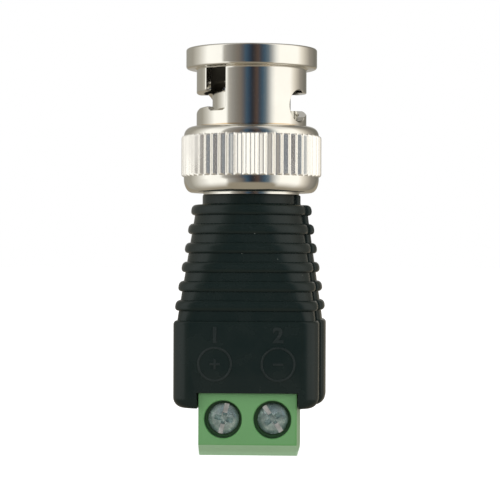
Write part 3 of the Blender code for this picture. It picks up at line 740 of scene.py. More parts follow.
def grid_faces(rows: int, columns: int, closed_rows: bool, caps: bool) -> list[tuple[int, ...]]:
    """Faces between rows of points, where each row is a closed loop.

    Args:
        rows: how many loops.
        columns: points in each loop.
        closed_rows: True joins the last loop to the first.
        caps: True closes the first and the last loop.

    Returns:
        The faces.
    """
    faces = []
    for i in range(rows if closed_rows else rows - 1):
        here, after = i * columns, (i + 1) % rows * columns
        for j in range(columns):
            k = (j + 1) % columns
            faces.append((here + j, here + k, after + k, after + j))
    if caps:
        faces += [tuple(range(columns)), tuple(range((rows - 1) * columns, rows * columns))]
    return faces


def quarter(steps: int) -> list[Point]:
    """Trace a quarter of a unit round in even steps.

    Args:
        steps: how many.

    Returns:
        The distances (1 - sin, 1 - cos) from the round's two outer sides.
    """
    turns = [math.pi / 2 * i / steps for i in range(steps + 1)]
    return [(1 - math.sin(turn), 1 - math.cos(turn)) for turn in turns]


def filleted(corners: Sequence[Triple], closed: bool = True, turn: float = 11.0) -> Outline:
    """Round the corners of an outline.

    Args:
        corners: (first, second coordinate, radius) of each corner.
        closed: False leaves the first and the last corner as they are.
        turn: the most degrees between neighbouring edges of a round.

    Returns:
        The outline's points.
    """
    made: Outline = []
    count = len(corners)
    for i, (x, y, radius) in enumerate(corners):
        if radius <= 0 or (not closed and i in (0, count - 1)):
            made.append((x, y))
            continue
        here = Vector((x, y))
        before = Vector(corners[i - 1][:2]) - here
        after = Vector(corners[(i + 1) % count][:2]) - here
        half = before.angle(after) / 2
        reach = min(radius / math.tan(half), 0.49 * before.length, 0.49 * after.length)
        steps = max(2, math.ceil(math.degrees(math.pi - 2 * half) / turn))
        middle = (before.normalized() + after.normalized()).normalized()
        centre = here + middle * reach / math.cos(half)
        first = here + before.normalized() * reach - centre
        last = here + after.normalized() * reach - centre
        sweep = math.atan2(first.x * last.y - first.y * last.x, first.dot(last))
        for step in range(steps + 1):
            c, s = math.cos(sweep * step / steps), math.sin(sweep * step / steps)
            made.append((centre.x + first.x * c - first.y * s,
                         centre.y + first.x * s + first.y * c))
    return made


def turned(name: str, profile: Outline, material: bpy.types.Material | None = None,
           steps: int = 192, closed: bool = True,
           reach: Callable[[float, float, float], float] | None = None) -> Piece:
    """Spin an outline of (radius, z) round Z.

    Args:
        name: the object's name.
        profile: the outline. An open one starts and ends on the axis.
        material: what it is made of.
        steps: points round the axis.
        closed: True joins the outline's last point to its first.
        reach: gives the radius from (radius, z, turn in radians), for ridges.

    Returns:
        The object.
    """
    points, faces, count = [], [], len(profile)
    for i in range(steps):
        angle = math.tau * i / steps
        for radius, z in profile:
            r = reach(radius, z, angle) if reach else radius
            points.append((r * math.cos(angle), r * math.sin(angle), z))
        here, after = i * count, (i + 1) % steps * count
        for j in range(count if closed else count - 1):
            k = (j + 1) % count
            quad = (here + j, here + k, after + k, after + j)
            starts, ends = profile[j][0] == 0, profile[k][0] == 0
            if not (starts and ends):
                faces.append(quad[:3] if starts else (*quad[:2], quad[3]) if ends else quad)
    return mesh_object(name, points, faces, material)


def inset(outline: Outline, distance: float) -> Outline:
    """Move each corner of a convex or gently bent outline inwards.

    Args:
        outline: the points, in either direction.
        distance: how far.

    Returns:
        The moved points.
    """
    points = np.array(outline, float)
    before = points - np.roll(points, 1, axis=0)
    after = np.roll(points, -1, axis=0) - points
    before /= np.linalg.norm(before, axis=1)[:, None] + 1e-12
    after /= np.linalg.norm(after, axis=1)[:, None] + 1e-12
    following = np.roll(points, -1, axis=0)
    area = 0.5 * np.sum(points[:, 0] * following[:, 1] - following[:, 0] * points[:, 1])
    way = 1.0 if area > 0 else -1.0
    normal = np.stack([-(before + after)[:, 1], (before + after)[:, 0]], 1) * way
    normal /= np.linalg.norm(normal, axis=1)[:, None] + 1e-12
    flat = np.stack([-before[:, 1], before[:, 0]], 1) * way
    stretch = 1.0 / np.clip(np.sum(normal * flat, axis=1), 0.35, 1.0)
    return [tuple(p) for p in points + normal * (distance * stretch)[:, None]]


def rounded_prism(name: str, outline: Outline, axis: int, start: float, end: float,
                  edge: float = 0.0, material: bpy.types.Material | None = None,
                  steps: int = 4) -> Piece:
    """Extrude an outline, with its end edges rounded.

    Args:
        name: the object's name.
        outline: points of the two other coordinates, in XYZ order.
        axis: 0, 1 or 2 for the direction.
        start: where it starts along the axis.
        end: where it ends.
        edge: the radius of the end edges.
        material: what it is made of.
        steps: rings in each rounded edge.

    Returns:
        The object.
    """
    levels = [(edge * pull, edge * rise) for pull, rise in quarter(steps)]
    rings = [(inset(outline, pull), start + rise) for pull, rise in levels]
    rings += [(inset(outline, pull), end - rise) for pull, rise in reversed(levels)]
    if edge <= 0:
        rings = [(outline, start), (outline, end)]
    points = [[*point[:axis], place, *point[axis:]] for ring, place in rings for point in ring]
    faces = grid_faces(len(rings), len(outline), False, True)
    return mesh_object(name, points, faces, material)


def box_cutter(low: Triple, high: Triple) -> Piece:
    """A plain box for cutting, between two corners."""
    outline = [(low[0], low[1]), (high[0], low[1]), (high[0], high[1]), (low[0], high[1])]
    return rounded_prism("cutter", outline, 2, low[2], high[2])


def carve(piece: Piece, cutters: Sequence[Piece], sharp: float = 30.0) -> Piece:
    """Cut shapes out of a piece and keep the result as its mesh.

    Args:
        piece: what is cut.
        cutters: what is taken away; they are removed afterwards.
        sharp: edges that turn more than this many degrees stay sharp.

    Returns:
        The piece.
    """
    for cutter in cutters:
        modifier = piece.modifiers.new("cut", "BOOLEAN")
        modifier.operation, modifier.solver, modifier.object = "DIFFERENCE", "EXACT", cutter
    graph = bpy.context.evaluated_depsgraph_get()
    mesh = bpy.data.meshes.new_from_object(piece.evaluated_get(graph))
    piece.modifiers.clear()
    piece.data = mesh
    smooth(mesh, sharp)
    for cutter in cutters:
        bpy.data.objects.remove(cutter, do_unlink=True)
    return piece


def place(piece: Piece, body: str, slot: str, *nodes: str) -> Piece:
    """Fix a piece to its body and hide the CAD nodes that it replaces.

    Args:
        piece: the new piece.
        body: the body that it moves with.
        slot: not used.
        nodes: the CAD nodes that it replaces.

    Returns:
        The piece.
    """
    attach(piece, body)
    if nodes:
        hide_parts(*nodes)
    return piece


def dress(node: str, material: bpy.types.Material, edge: float = 0.0) -> Piece:
    """Give a CAD node its finish and softened edges.

    Args:
        node: the node's name.
        material: the finish.
        edge: the width of its broken edges, or 0.

    Returns:
        The node's object.
    """
    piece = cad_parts[node]
    piece.data.materials.clear()
    piece.data.materials.append(material)
    if edge > 0:
        piece.modifiers.new("weld", "WELD").merge_threshold = 1e-7
        bevel = piece.modifiers.new("edges", "BEVEL")
        bevel.width, bevel.segments, bevel.limit_method = edge * MM, 2, "ANGLE"
        bevel.angle_limit = math.radians(30)
        even_normals(piece)
    return piece


# Coupling nut


@dataclass
class CouplingNut:
    """The turned nut: front rim, slotted barrel, straight knurl and rounded rear band.

    The slot's angles count from the front towards the left. Its ramp is a row of corners: angle,
    height above the entry's floor, and rounding.
    """

    looks: Looks
    bottom: float = 26.78
    recess_radius: float = 5.12
    lip_bottom: float = 26.86
    lip_radius: float = 4.13
    floor: float = 27.34
    bore_radius: float = 4.9
    band_radius: float = 6.995
    band_wide: float = 0.85
    band_tall: float = 1.4
    band_top: float = 28.53
    knurl_radius: float = 7.25
    knurl_depth: float = 0.27
    crest_turn: float = -84.05
    knurl_top: float = 32.5
    ridges: int = 51
    ridge_bend: float = 0.975
    runout: float = 0.14
    runout_rings: tuple[float, ...] = (0.09, 0.05, 0.0, -0.05, -0.1, -0.16)
    shoulder_top: float = 33.6
    shoulder_power: float = 0.7
    barrel_radius: float = 5.69
    rim_bottom: float = 39.55
    rim_radius: float = 6.775
    top: float = 41.65
    steps_per_ridge: int = 18
    entry_from: float = 24.9
    entry_to: float = 51.3
    entry_floor: float = 35.08
    entry_rub: float = 0.16
    ramp: tuple[Triple, ...] = ((45.5, 0.0, 0.3), (47.6, 0.42, 0.3), (67.0, 0.32, 1.0),
                                (87.0, -0.18, 1.0))
    ramp_roof: float = 97.0
    entry_roof: float = 2.07
    detent_angle: float = 116.75
    detent_height: float = 35.6
    detent_radius: float = 1.66
    detent_low: float = 1.1
    detent_high: float = 1.4
    outline_step: float = 0.3
    slot_flare: float = 0.2
    slot_inside: float = 0.43
    slot_outside: float = 0.5
    flare_from: float = 0.07
    flare_to: float = 0.13
    rub_from: float = 0.14
    rub_depth: float = 0.21
    parallel_fade: float = 20.0
    groove_radius: float = 5.6

    def shoulder(self) -> Outline:
        """Points from the barrel down over the shoulder to the knurl's end.

        Returns:
            The points, from top to bottom.
        """
        wide = self.knurl_radius - self.knurl_depth - self.barrel_radius
        low, points = self.knurl_top + self.runout, []
        for i in range(13):
            angle = math.pi / 2 * (1 - i / 12)
            points.append((self.barrel_radius + wide * math.cos(angle) ** self.shoulder_power,
                           low + (self.shoulder_top - low) * math.sin(angle)))
        return points

    def profile(self) -> Outline:
        """The whole closed outline, outside from the top down and then up the bore.

        Returns:
            The (radius, z) points.
        """
        bore, rim, barrel = self.bore_radius, self.rim_radius, self.barrel_radius
        head = [(bore, self.top - 1.0, 0.0), (bore, self.top, 0.26), (rim, self.top, 0.24),
                (rim, self.rim_bottom, 0.26), (barrel, self.rim_bottom, 0.28),
                (barrel, self.rim_bottom - 1.0, 0.0)]
        wide, band = self.knurl_radius - self.knurl_depth, self.band_radius
        knurl = [(wide, self.knurl_top + z) for z in self.runout_rings]
        knurl += [(wide, self.band_top - z) for z in reversed(self.runout_rings)]
        knurl += [(band, self.band_top - self.runout - z) for z in (0.0, 0.015)]
        knurl += [(band - self.band_wide * pull, self.bottom + self.band_tall * rise)
                  for rise, pull in quarter(16)]
        foot = [(self.recess_radius + 0.3, self.bottom, 0.0),
                (self.recess_radius, self.bottom, 0.05), (self.recess_radius, self.lip_bottom, 0.0),
                (self.lip_radius, self.lip_bottom, 0.05), (self.lip_radius, self.floor, 0.0),
                (bore, self.floor, 0.0)]
        return filleted(head, False) + self.shoulder() + knurl + filleted(foot, False, 7.0)

    def ridge_radius(self, radius: float, z: float, angle: float) -> float:
        """The radius with the knurl's ridges.

        Args:
            radius: the plain radius.
            z: the height.
            angle: the turn round the axis, in radians.

        Returns:
            The ridged radius between the knurl's ends, and the plain one elsewhere.
        """
        low, high = self.band_top - self.runout, self.knurl_top + self.runout
        if not low < z < high or radius < self.band_radius - 0.2:
            return radius
        end = min(1.0, max(0.0, min(z - low, high - z) / (2 * self.runout)))
        end = math.sqrt(max(0.0, 1 - (1 - end) ** 2))
        share = (angle - math.radians(self.crest_turn)) / (math.tau / self.ridges)
        bend = self.ridge_bend
        wave = math.asin(bend * math.cos(math.tau * share)) / math.asin(bend)
        return radius + (self.knurl_radius - self.knurl_depth * (1 - wave) / 2 - radius) * end

    def slot_outline(self) -> Outline:
        """The bayonet slot's outline, unrolled on the barrel: entry, ramp and round detent.

        Returns:
            Points of (arc length from the front towards the left, height), close to each other.
        """
        around = math.radians(1) * self.barrel_radius
        first, last = self.entry_from * around, self.entry_to * around
        floor, middle, top = self.entry_floor, self.detent_height, self.rim_bottom - 0.15
        centre, radius = self.detent_angle * around, self.detent_radius
        low, high = math.asin(-self.detent_low / radius), math.asin(self.detent_high / radius)
        corners = [(first, top, 0.0), (first, floor, 0.45)]
        corners += [(angle * around, floor + rise, edge) for angle, rise, edge in self.ramp]
        corners.append((centre - radius * math.cos(low), middle - self.detent_low, 0.3))
        start = math.pi - low
        sweep = math.tau + math.pi - high - start
        for i in range(1, 28):
            turn = start + sweep * i / 28
            x, y = radius * math.cos(turn), radius * math.sin(turn)
            corners.append((centre + x, middle + y, 0.0))
        roof = middle + self.detent_high
        corners += [(centre - radius * math.cos(high), roof, 0.3),
                    (self.ramp_roof * around, roof, 1.0), (last, floor + self.entry_roof, 0.25),
                    (last, top, 0.0)]
        rounded = filleted(corners)
        made: Outline = []
        for here, after in zip(rounded, rounded[1:] + rounded[:1]):
            count = max(1, math.ceil(math.dist(here, after) / self.outline_step))
            start, way = np.array(here), np.array(after) - here
            made += [tuple(start + way * i / count) for i in range(count)]
        return made

    def slot_cutter(self, turn: float) -> Piece:
        """A cutter for one bayonet slot that flares at the barrel's outside to break the edge.

        Its entry has parallel sides, and the entry's far edge is rubbed back a little.

        Args:
            turn: the slot's own turn round the axis, in radians.

        Returns:
            The cutter.
        """
        outline = self.slot_outline()
        around, last = self.barrel_radius, math.radians(self.entry_to)
        middle = math.radians(self.entry_from + self.entry_to) / 2
        edge = [list(range(len(outline)))]
        found = delaunay_2d_cdt([Vector(p) for p in outline], [], edge, 1, 1e-7)
        cap = [[found[3][corner][0] for corner in face] for face in found[2]]
        flare, points = self.slot_flare, []
        rings = ((self.bore_radius - self.slot_inside, 0.0), (around - self.flare_from, 0.0),
                 (around + self.flare_to, flare), (around + self.slot_outside, flare))
        for radius, grow in rings:
            for run, z in inset(outline, -grow):
                angle = run / around
                if abs(run - last * around - grow) < 0.02 and radius > around - self.rub_from:
                    rub = min(1.0, (radius - around + self.rub_from) / self.rub_depth)
                    angle += self.entry_rub * rub / around
                away = min(angle, last) - middle
                past = (math.degrees(angle) - self.entry_to) / self.parallel_fade
                parallel = math.asin(min(0.9, around * math.sin(away) / radius)) - away
                a = angle + parallel * min(1.0, max(0.0, 1 - past)) + turn
                points.append((-math.sin(a) * radius, -math.cos(a) * radius,
                               min(z, self.rim_bottom - 0.1)))
        count = len(outline)
        faces = grid_faces(4, count, False, False)
        faces += cap + [[corner + 3 * count for corner in face] for face in cap]
        return mesh_object("cutter", points, faces)

    def groove_cutter(self, turn: float) -> Piece:
        """A cutter for the lug groove inside the rim.

        Args:
            turn: the groove's own turn round the axis, in radians.

        Returns:
            The cutter.
        """
        inner, outer = self.bore_radius - self.slot_inside, self.groove_radius
        low, high, points = self.rim_bottom - 0.6, self.top + 1.0, []
        for i in range(13):
            angle = self.entry_from + (self.entry_to - self.entry_from) * i / 12
            angle = math.radians(angle) + turn
            points += [(-math.sin(angle) * radius, -math.cos(angle) * radius, z)
                       for radius, z in ((inner, low), (outer, low), (outer, high), (inner, high))]
        return mesh_object("cutter", points, grid_faces(13, 4, False, True))

    def build(self) -> list[Piece]:
        """Make the nut and fix it to its body.

        Returns:
            The pieces.
        """
        nut = turned("bayonet_nut", self.profile(), self.looks["bright_nickel_nut"],
                     self.ridges * self.steps_per_ridge, reach=self.ridge_radius)
        makers = (self.slot_cutter, self.groove_cutter)
        carve(nut, [make(turn) for turn in (0.0, math.pi) for make in makers], 40.0)
        return [place(even_normals(nut), "nut", "plated_brass", "coupling_nut")]


# Plug core


@dataclass(frozen=True)
class Turning:
    """One turned piece of the core: its corners, looks, slots and the CAD node it replaces."""

    name: str
    node: str
    slot: str
    look: str
    steps: int
    corners: list[Triple]
    slots: tuple[float, ...] = ()


@dataclass
class PlugCore:
    """What stands still inside the nut: ring, contact sleeve, insulator, pin, gasket and spring."""

    looks: Looks
    flange_top: float = 30.01
    contact_bottom: float = 29.05
    contact_top: float = 38.2
    contact_radius: float = 4.05
    contact_wall: float = 0.6
    slot_width: float = 0.5
    slot_length: float = 4.2
    insulator_step: float = 28.06
    insulator_tail: float = 2.4
    insulator_top: float = 33.21
    stem_bottom: float = 19.52
    pin_radius: float = 0.675
    pin_body_radius: float = 1.05
    gasket_inner: float = 4.09
    gasket_outer: float = 4.82
    spring_inner: float = 4.13
    spring_outer: float = 4.82
    spring_waves: int = 3
    spring_sheet: float = 0.2
    nut_travel: float = 0.6
    ring_bottom: float = 26.55
    ring_top: float = 26.83
    ring_inner: float = 3.94
    ring_outer: float = 4.97

    def turnings(self) -> list[Turning]:
        """The pieces that are turned round the axis.

        Returns:
            One row for each piece.
        """
        outer, inner = self.contact_radius, self.contact_radius - self.contact_wall
        low, tip = self.contact_bottom, self.contact_top
        sleeve = [(inner, low, 0.0), (outer, low, 0.0), (outer, tip - 0.75, 0.5),
                  (outer - 0.22, tip - 0.22, 0.4), (inner + 0.12, tip, 0.08), (inner, tip, 0.05)]
        wide, tail, bore = inner - 0.04, self.insulator_tail, self.pin_body_radius + 0.04
        low, step, high = self.stem_bottom - 0.03, self.insulator_step, self.insulator_top
        resin = [(bore, low, 0.0), (tail, low, 0.06), (tail, step, 0.0), (wide, step, 0.0),
                 (wide, high, 0.15), (bore, high, 0.1)]
        low, step, high = self.stem_bottom - 0.9, self.insulator_top - 0.05, tip - 1.21
        body, thin = self.pin_body_radius, self.pin_radius
        pin = [(0.0, low, 0.0), (body, low, 0.08), (body, step, 0.05), (thin, step, 0.0),
               (thin, high - 1.0, 0.6), (0.3, high - 0.14, 0.16), (0.16, high, 0.06),
               (0.0, high, 0.0)]
        inner, outer, low, high = self.ring_inner, self.ring_outer, self.ring_bottom, self.ring_top
        ring = [(inner, low, 0.0), (outer, low, 0.025), (outer, high, 0.03), (inner, high, 0.0)]
        inner, outer = self.gasket_inner, self.gasket_outer
        low, high = self.flange_top + 0.04, self.flange_top + 0.94
        seal = [(inner, low, 0.05), (outer, low, 0.05), (outer, high, 0.3), (inner, high, 0.3)]
        return [
            Turning("contact_sleeve", "outer_contact", "plated_brass", "bright_nickel", 256, sleeve,
                    (65.0, 155.0)),
            Turning("resin_core", "insulator", "white_resin", "white_resin", 128, resin),
            Turning("signal_pin", "centre_pin", "gilt_brass", "gold_flash", 64, pin),
            Turning("rear_ring", "retaining_ring", "plated_brass", "bright_nickel", 192, ring),
            Turning("socket_seal", "front_gasket", "seal_rubber", "seal_rubber", 128, seal),
        ]

    def sleeve_slot(self, turn: float) -> Piece:
        """A cutter for two opposite slots of the contact sleeve.

        Args:
            turn: how far it is turned round the axis.

        Returns:
            The cutter.
        """
        long, half = self.contact_radius + 1, self.slot_width / 2
        cutter = box_cutter((-long, -half, self.contact_top - self.slot_length),
                            (long, half, self.contact_top + 1))
        return move(cutter, math.radians(turn), "Z", 0.0, 0.0, 0.0)

    def spring(self) -> Piece:
        """The wave spring between the thrust washer and the flange.

        Returns:
            The piece.
        """
        low, high = (corner[2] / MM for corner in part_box("wave_spring"))
        steps, half = 32 * self.spring_waves, self.spring_sheet / 2
        middle, swing = (low + high) / 2, (high - low) / 2 - half
        inner, outer, points = self.spring_inner, self.spring_outer, []
        for radius, side in ((inner, -1), (outer, -1), (outer, 1), (inner, 1)):
            for step in range(steps):
                angle = math.tau * step / steps
                z = middle + swing * math.sin(self.spring_waves * angle) + side * half
                points.append((radius * math.cos(angle), radius * math.sin(angle), z))
        piece = mesh_object("flexing_spring", points, grid_faces(4, steps, True, False),
                            self.looks["zinc_steel"])
        place(piece, "housing", "zinc_steel", "wave_spring")
        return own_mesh(piece)

    def build(self) -> list[Piece]:
        """Make the core's pieces and dress the CAD nodes that stay.

        Returns:
            The pieces.
        """
        made = []
        for row in self.turnings():
            closed = row.corners[0][0] > 0
            piece = turned(row.name, filleted(row.corners, closed), self.looks[row.look], row.steps,
                           closed)
            if row.slots:
                carve(piece, [self.sleeve_slot(turn) for turn in row.slots])
            made.append(place(even_normals(piece), "housing", row.slot, row.node))
        made.append(dress("plug_body", self.looks["bright_nickel"], 0.04))
        made.append(dress("thrust_washer", self.looks["zinc_steel"], 0.03))
        return made + [self.spring()]


# Housing


@dataclass
class Housing:
    """The two moulded halves of the ribbed, tapered housing, with their raised marks."""

    looks: Looks
    foot: float = 4.82
    foot_round: float = 1.05
    foot_edge: float = 0.35
    box_top: float = 13.70
    box_half_width: float = 7.385
    box_half_depth: float = 6.0
    box_corner: float = 1.8
    top_round: float = 0.4
    taper_step: float = 0.39
    rib_count: int = 6
    rib_pitch: float = 1.955
    rib_height: float = 0.46
    rib_thickness: float = 1.1
    rib_power: float = 2.7
    rib_front: float = 0.65
    first_rib: float = 15.2
    top_radius: float = 5.475
    neck_radius: float = 4.775
    top: float = 26.54
    front_shift: float = -0.26
    rear_shift: float = 0.32
    seam_gap: float = 0.05
    front_break: float = 0.08
    rear_break: float = 0.5
    rear_draft: float = 1.9
    pocket: tuple[Point, ...] = ((-7.0, 0.0), (5.12, 0.0), (5.12, 7.72), (-5.42, 7.72),
                                 (-5.42, 6.42), (-5.94, 6.42), (-6.1, 6.58), (-7.0, 6.58))
    pocket_half: float = 5.12
    room_low: Triple = (-4.4, -3.0, 7.48)
    room_high: Triple = (4.4, 3.0, 13.4)
    stem_radius: float = 3.94
    stem_low: float = 13.28
    stem_high: float = 27.5
    mark_middle: float = -0.1
    mark_spread: float = 3.2
    numeral_at: float = 12.3
    numeral_height: float = 1.55
    sign_at: float = 9.35
    sign_inner: float = 1.55
    sign_outer: float = 1.75
    sign_arm: float = 0.52
    sign_bar: float = 0.1

    @property
    def top_rib(self) -> float:
        """The height of the uppermost rib's middle."""
        return self.first_rib + (self.rib_count - 1) * self.rib_pitch

    def groove(self, z: float) -> list[float]:
        """The half width, half depth and corner radius between the ribs at a height."""
        share, low = (z - self.box_top) / (self.top_rib - self.box_top), self.taper_step
        return [size - low + (self.top_radius - size + low) * share
                for size in (self.box_half_width, self.box_half_depth, self.box_corner)]

    def sections(self) -> list[tuple[float, float, float, float]]:
        """(half width, half depth, corner radius, z) from the foot to the neck.

        Returns:
            The sections, from the bottom up.
        """
        wide, deep, corner = self.box_half_width, self.box_half_depth, self.box_corner
        made = [(wide - self.foot_round * pull, deep - self.foot_edge * pull, corner,
                 self.foot + self.foot_round * rise) for pull, rise in quarter(8)]
        made.append((wide, deep, corner, (self.foot + self.box_top) / 2))
        for drop, pull in quarter(6):
            pull *= self.top_round
            made.append((wide - pull, deep - pull, corner - pull,
                         self.box_top - self.top_round * drop))
        half = self.rib_thickness / 2
        around = [math.sin(math.radians(-90 + 180 * i / 16)) for i in range(17)]
        rib = [(half * x, self.rib_height * (1 - abs(x) ** self.rib_power) ** 0.5) for x in around]
        rib = [(-half - 0.4, 0.0), (-half - 0.1, 0.0), *rib, (half + 0.1, 0.0), (half + 0.4, 0.0)]
        for i in range(self.rib_count):
            middle = self.first_rib + i * self.rib_pitch
            last = i == self.rib_count - 1
            for offset, height in rib:
                z, shallow = middle + offset, height * self.rib_front
                if z <= self.box_top + 0.02 or (last and z > middle + half + 0.01):
                    continue
                width, depth, corner = self.groove(z)
                made.append((width + height, depth + shallow, corner + shallow, z))
        low, neck = self.top_rib + half, self.neck_radius
        for size, z in ((neck + 0.1, low + 0.005), (neck + 0.06, low + 0.04), (neck, low + 0.1),
                        (neck, self.top - 0.12), (neck - 0.03, self.top - 0.04),
                        (neck - 0.1, self.top)):
            made.append((size, size, size, z))
        return made

    def outline(self, width: float, depth: float, corner: float, half: Half) -> Outline:
        """One half of a rounded rectangle in plan, with its seam edges broken.

        Args:
            width: half its width.
            depth: half its depth.
            corner: the radius of its corners.
            half: which half of the housing.

        Returns:
            The (x, y) points.
        """
        gap = self.seam_gap / 2
        shift, edge, deep = self.front_shift, self.front_break, self.front_break
        if half is Half.REAR:
            shift, edge = self.rear_shift, self.rear_break
            deep = max(edge, min(self.rear_draft, depth - corner - 0.1))
        corner = min(corner, width - 0.04, depth - gap - deep - 0.02)
        points = [(width - edge * pull, gap + deep * rise) for pull, rise in quarter(10)]
        points += [(width - corner * pull, depth - corner * rise) for rise, pull in quarter(14)]
        points += [(-x, y) for x, y in reversed(points)]
        return [(x + shift, y * half.value) for x, y in points]

    def shell(self, half: Half) -> Piece:
        """One moulded half, cut out for the terminal block, the solder tails and the stem.

        Args:
            half: which half.

        Returns:
            The piece.
        """
        rings = [[(x, y, z) for x, y in self.outline(width, depth, corner, half)]
                 for width, depth, corner, z in self.sections()]
        points = [point for ring in rings for point in ring]
        shell = mesh_object("housing_" + half.name.lower(), points,
                            grid_faces(len(rings), len(rings[0]), False, True),
                            self.looks["black_housing"])
        stem, low, high = self.stem_radius, self.stem_low, self.stem_high
        stem_profile = [(0, low), (stem, low), (stem, high), (0, high)]
        cutters = [rounded_prism("cutter", self.pocket, 0, -self.pocket_half, self.pocket_half),
                   box_cutter(self.room_low, self.room_high),
                   turned("cutter", stem_profile, None, 128, closed=False)]
        return even_normals(carve(shell, cutters, 38.0))

    def numeral(self, text: str, x: float) -> Piece:
        """A raised numeral on the front face.

        Args:
            text: the numeral.
            x: its middle.

        Returns:
            The piece.
        """
        def as_mesh() -> bpy.types.Mesh:
            """Read the text as a mesh, with its present settings.

            Returns:
                The mesh.
            """
            graph = bpy.context.evaluated_depsgraph_get()
            graph.update()
            return bpy.data.meshes.new_from_object(holder.evaluated_get(graph))

        curve = bpy.data.curves.new("numeral", "FONT")
        curve.body, curve.size, curve.resolution_u, curve.offset = text, 1.0, 8, 0.015
        holder = add_object("numeral", curve)
        heights = [v.co.y for v in as_mesh().vertices]
        scale = self.numeral_height / (max(heights) - min(heights))
        curve.extrude, curve.bevel_depth, curve.bevel_resolution = 0.04 / scale, 0.03 / scale, 2
        mesh = as_mesh()
        bpy.data.objects.remove(holder, do_unlink=True)
        low = Vector([min(v.co[i] for v in mesh.vertices) for i in range(3)])
        high = Vector([max(v.co[i] for v in mesh.vertices) for i in range(3)])
        mesh.transform(Matrix.Scale(scale * MM, 4) @ Matrix.Translation(-(low + high) / 2))
        mesh.materials.clear()
        mesh.materials.append(self.looks["raised_mark"])
        smooth(mesh, 40.0)
        made = add_object("pole_numeral_" + text, mesh)
        return move(made, math.pi / 2, "X", x, -self.box_half_depth, self.numeral_at)

    def sign(self, sign: Sign, x: float) -> list[Piece]:
        """A raised ring with a polarity sign in it.

        Args:
            sign: plus or minus.
            x: the middle.

        Returns:
            The ring and the sign.
        """
        look, face, z = self.looks["raised_mark"], -self.box_half_depth, self.sign_at
        inner, outer = self.sign_inner, self.sign_outer
        profile = filleted([(inner, -0.06, 0.0), (inner, 0.07, 0.05), (outer, 0.07, 0.05),
                            (outer, -0.06, 0.0)])
        ring = move(turned("ring_" + sign.value, profile, look, 96), math.pi / 2, "X", x, face, z)
        arm, bar = self.sign_arm, self.sign_bar
        outline = [(-arm, -bar), (arm, -bar), (arm, bar), (-arm, bar)]
        if sign is Sign.PLUS:
            outline = [(bar, bar), (arm, bar), (arm, -bar), (bar, -bar), (bar, -arm), (-bar, -arm),
                       (-bar, -bar), (-arm, -bar), (-arm, bar), (-bar, bar), (-bar, arm),
                       (bar, arm)]
        mark = rounded_prism("sign_" + sign.value, [(x + a, z + b) for a, b in outline], 1,
                             face - 0.05, face + 0.06, 0.03, look)
        return [ring, mark]

    def build(self) -> list[Piece]:
        """Make both halves and the marks.

        Returns:
            The pieces.
        """
        made = [place(self.shell(half), "housing", "black_plastic", half.name.lower() + "_shell")
                for half in Half]
        left, right = self.mark_middle - self.mark_spread, self.mark_middle + self.mark_spread
        marks = [self.numeral("1", left), self.numeral("2", right)]
        marks += self.sign(Sign.PLUS, left) + self.sign(Sign.MINUS, right)
        return made + [place(mark, "housing", "black_plastic") for mark in marks]


# Terminal block


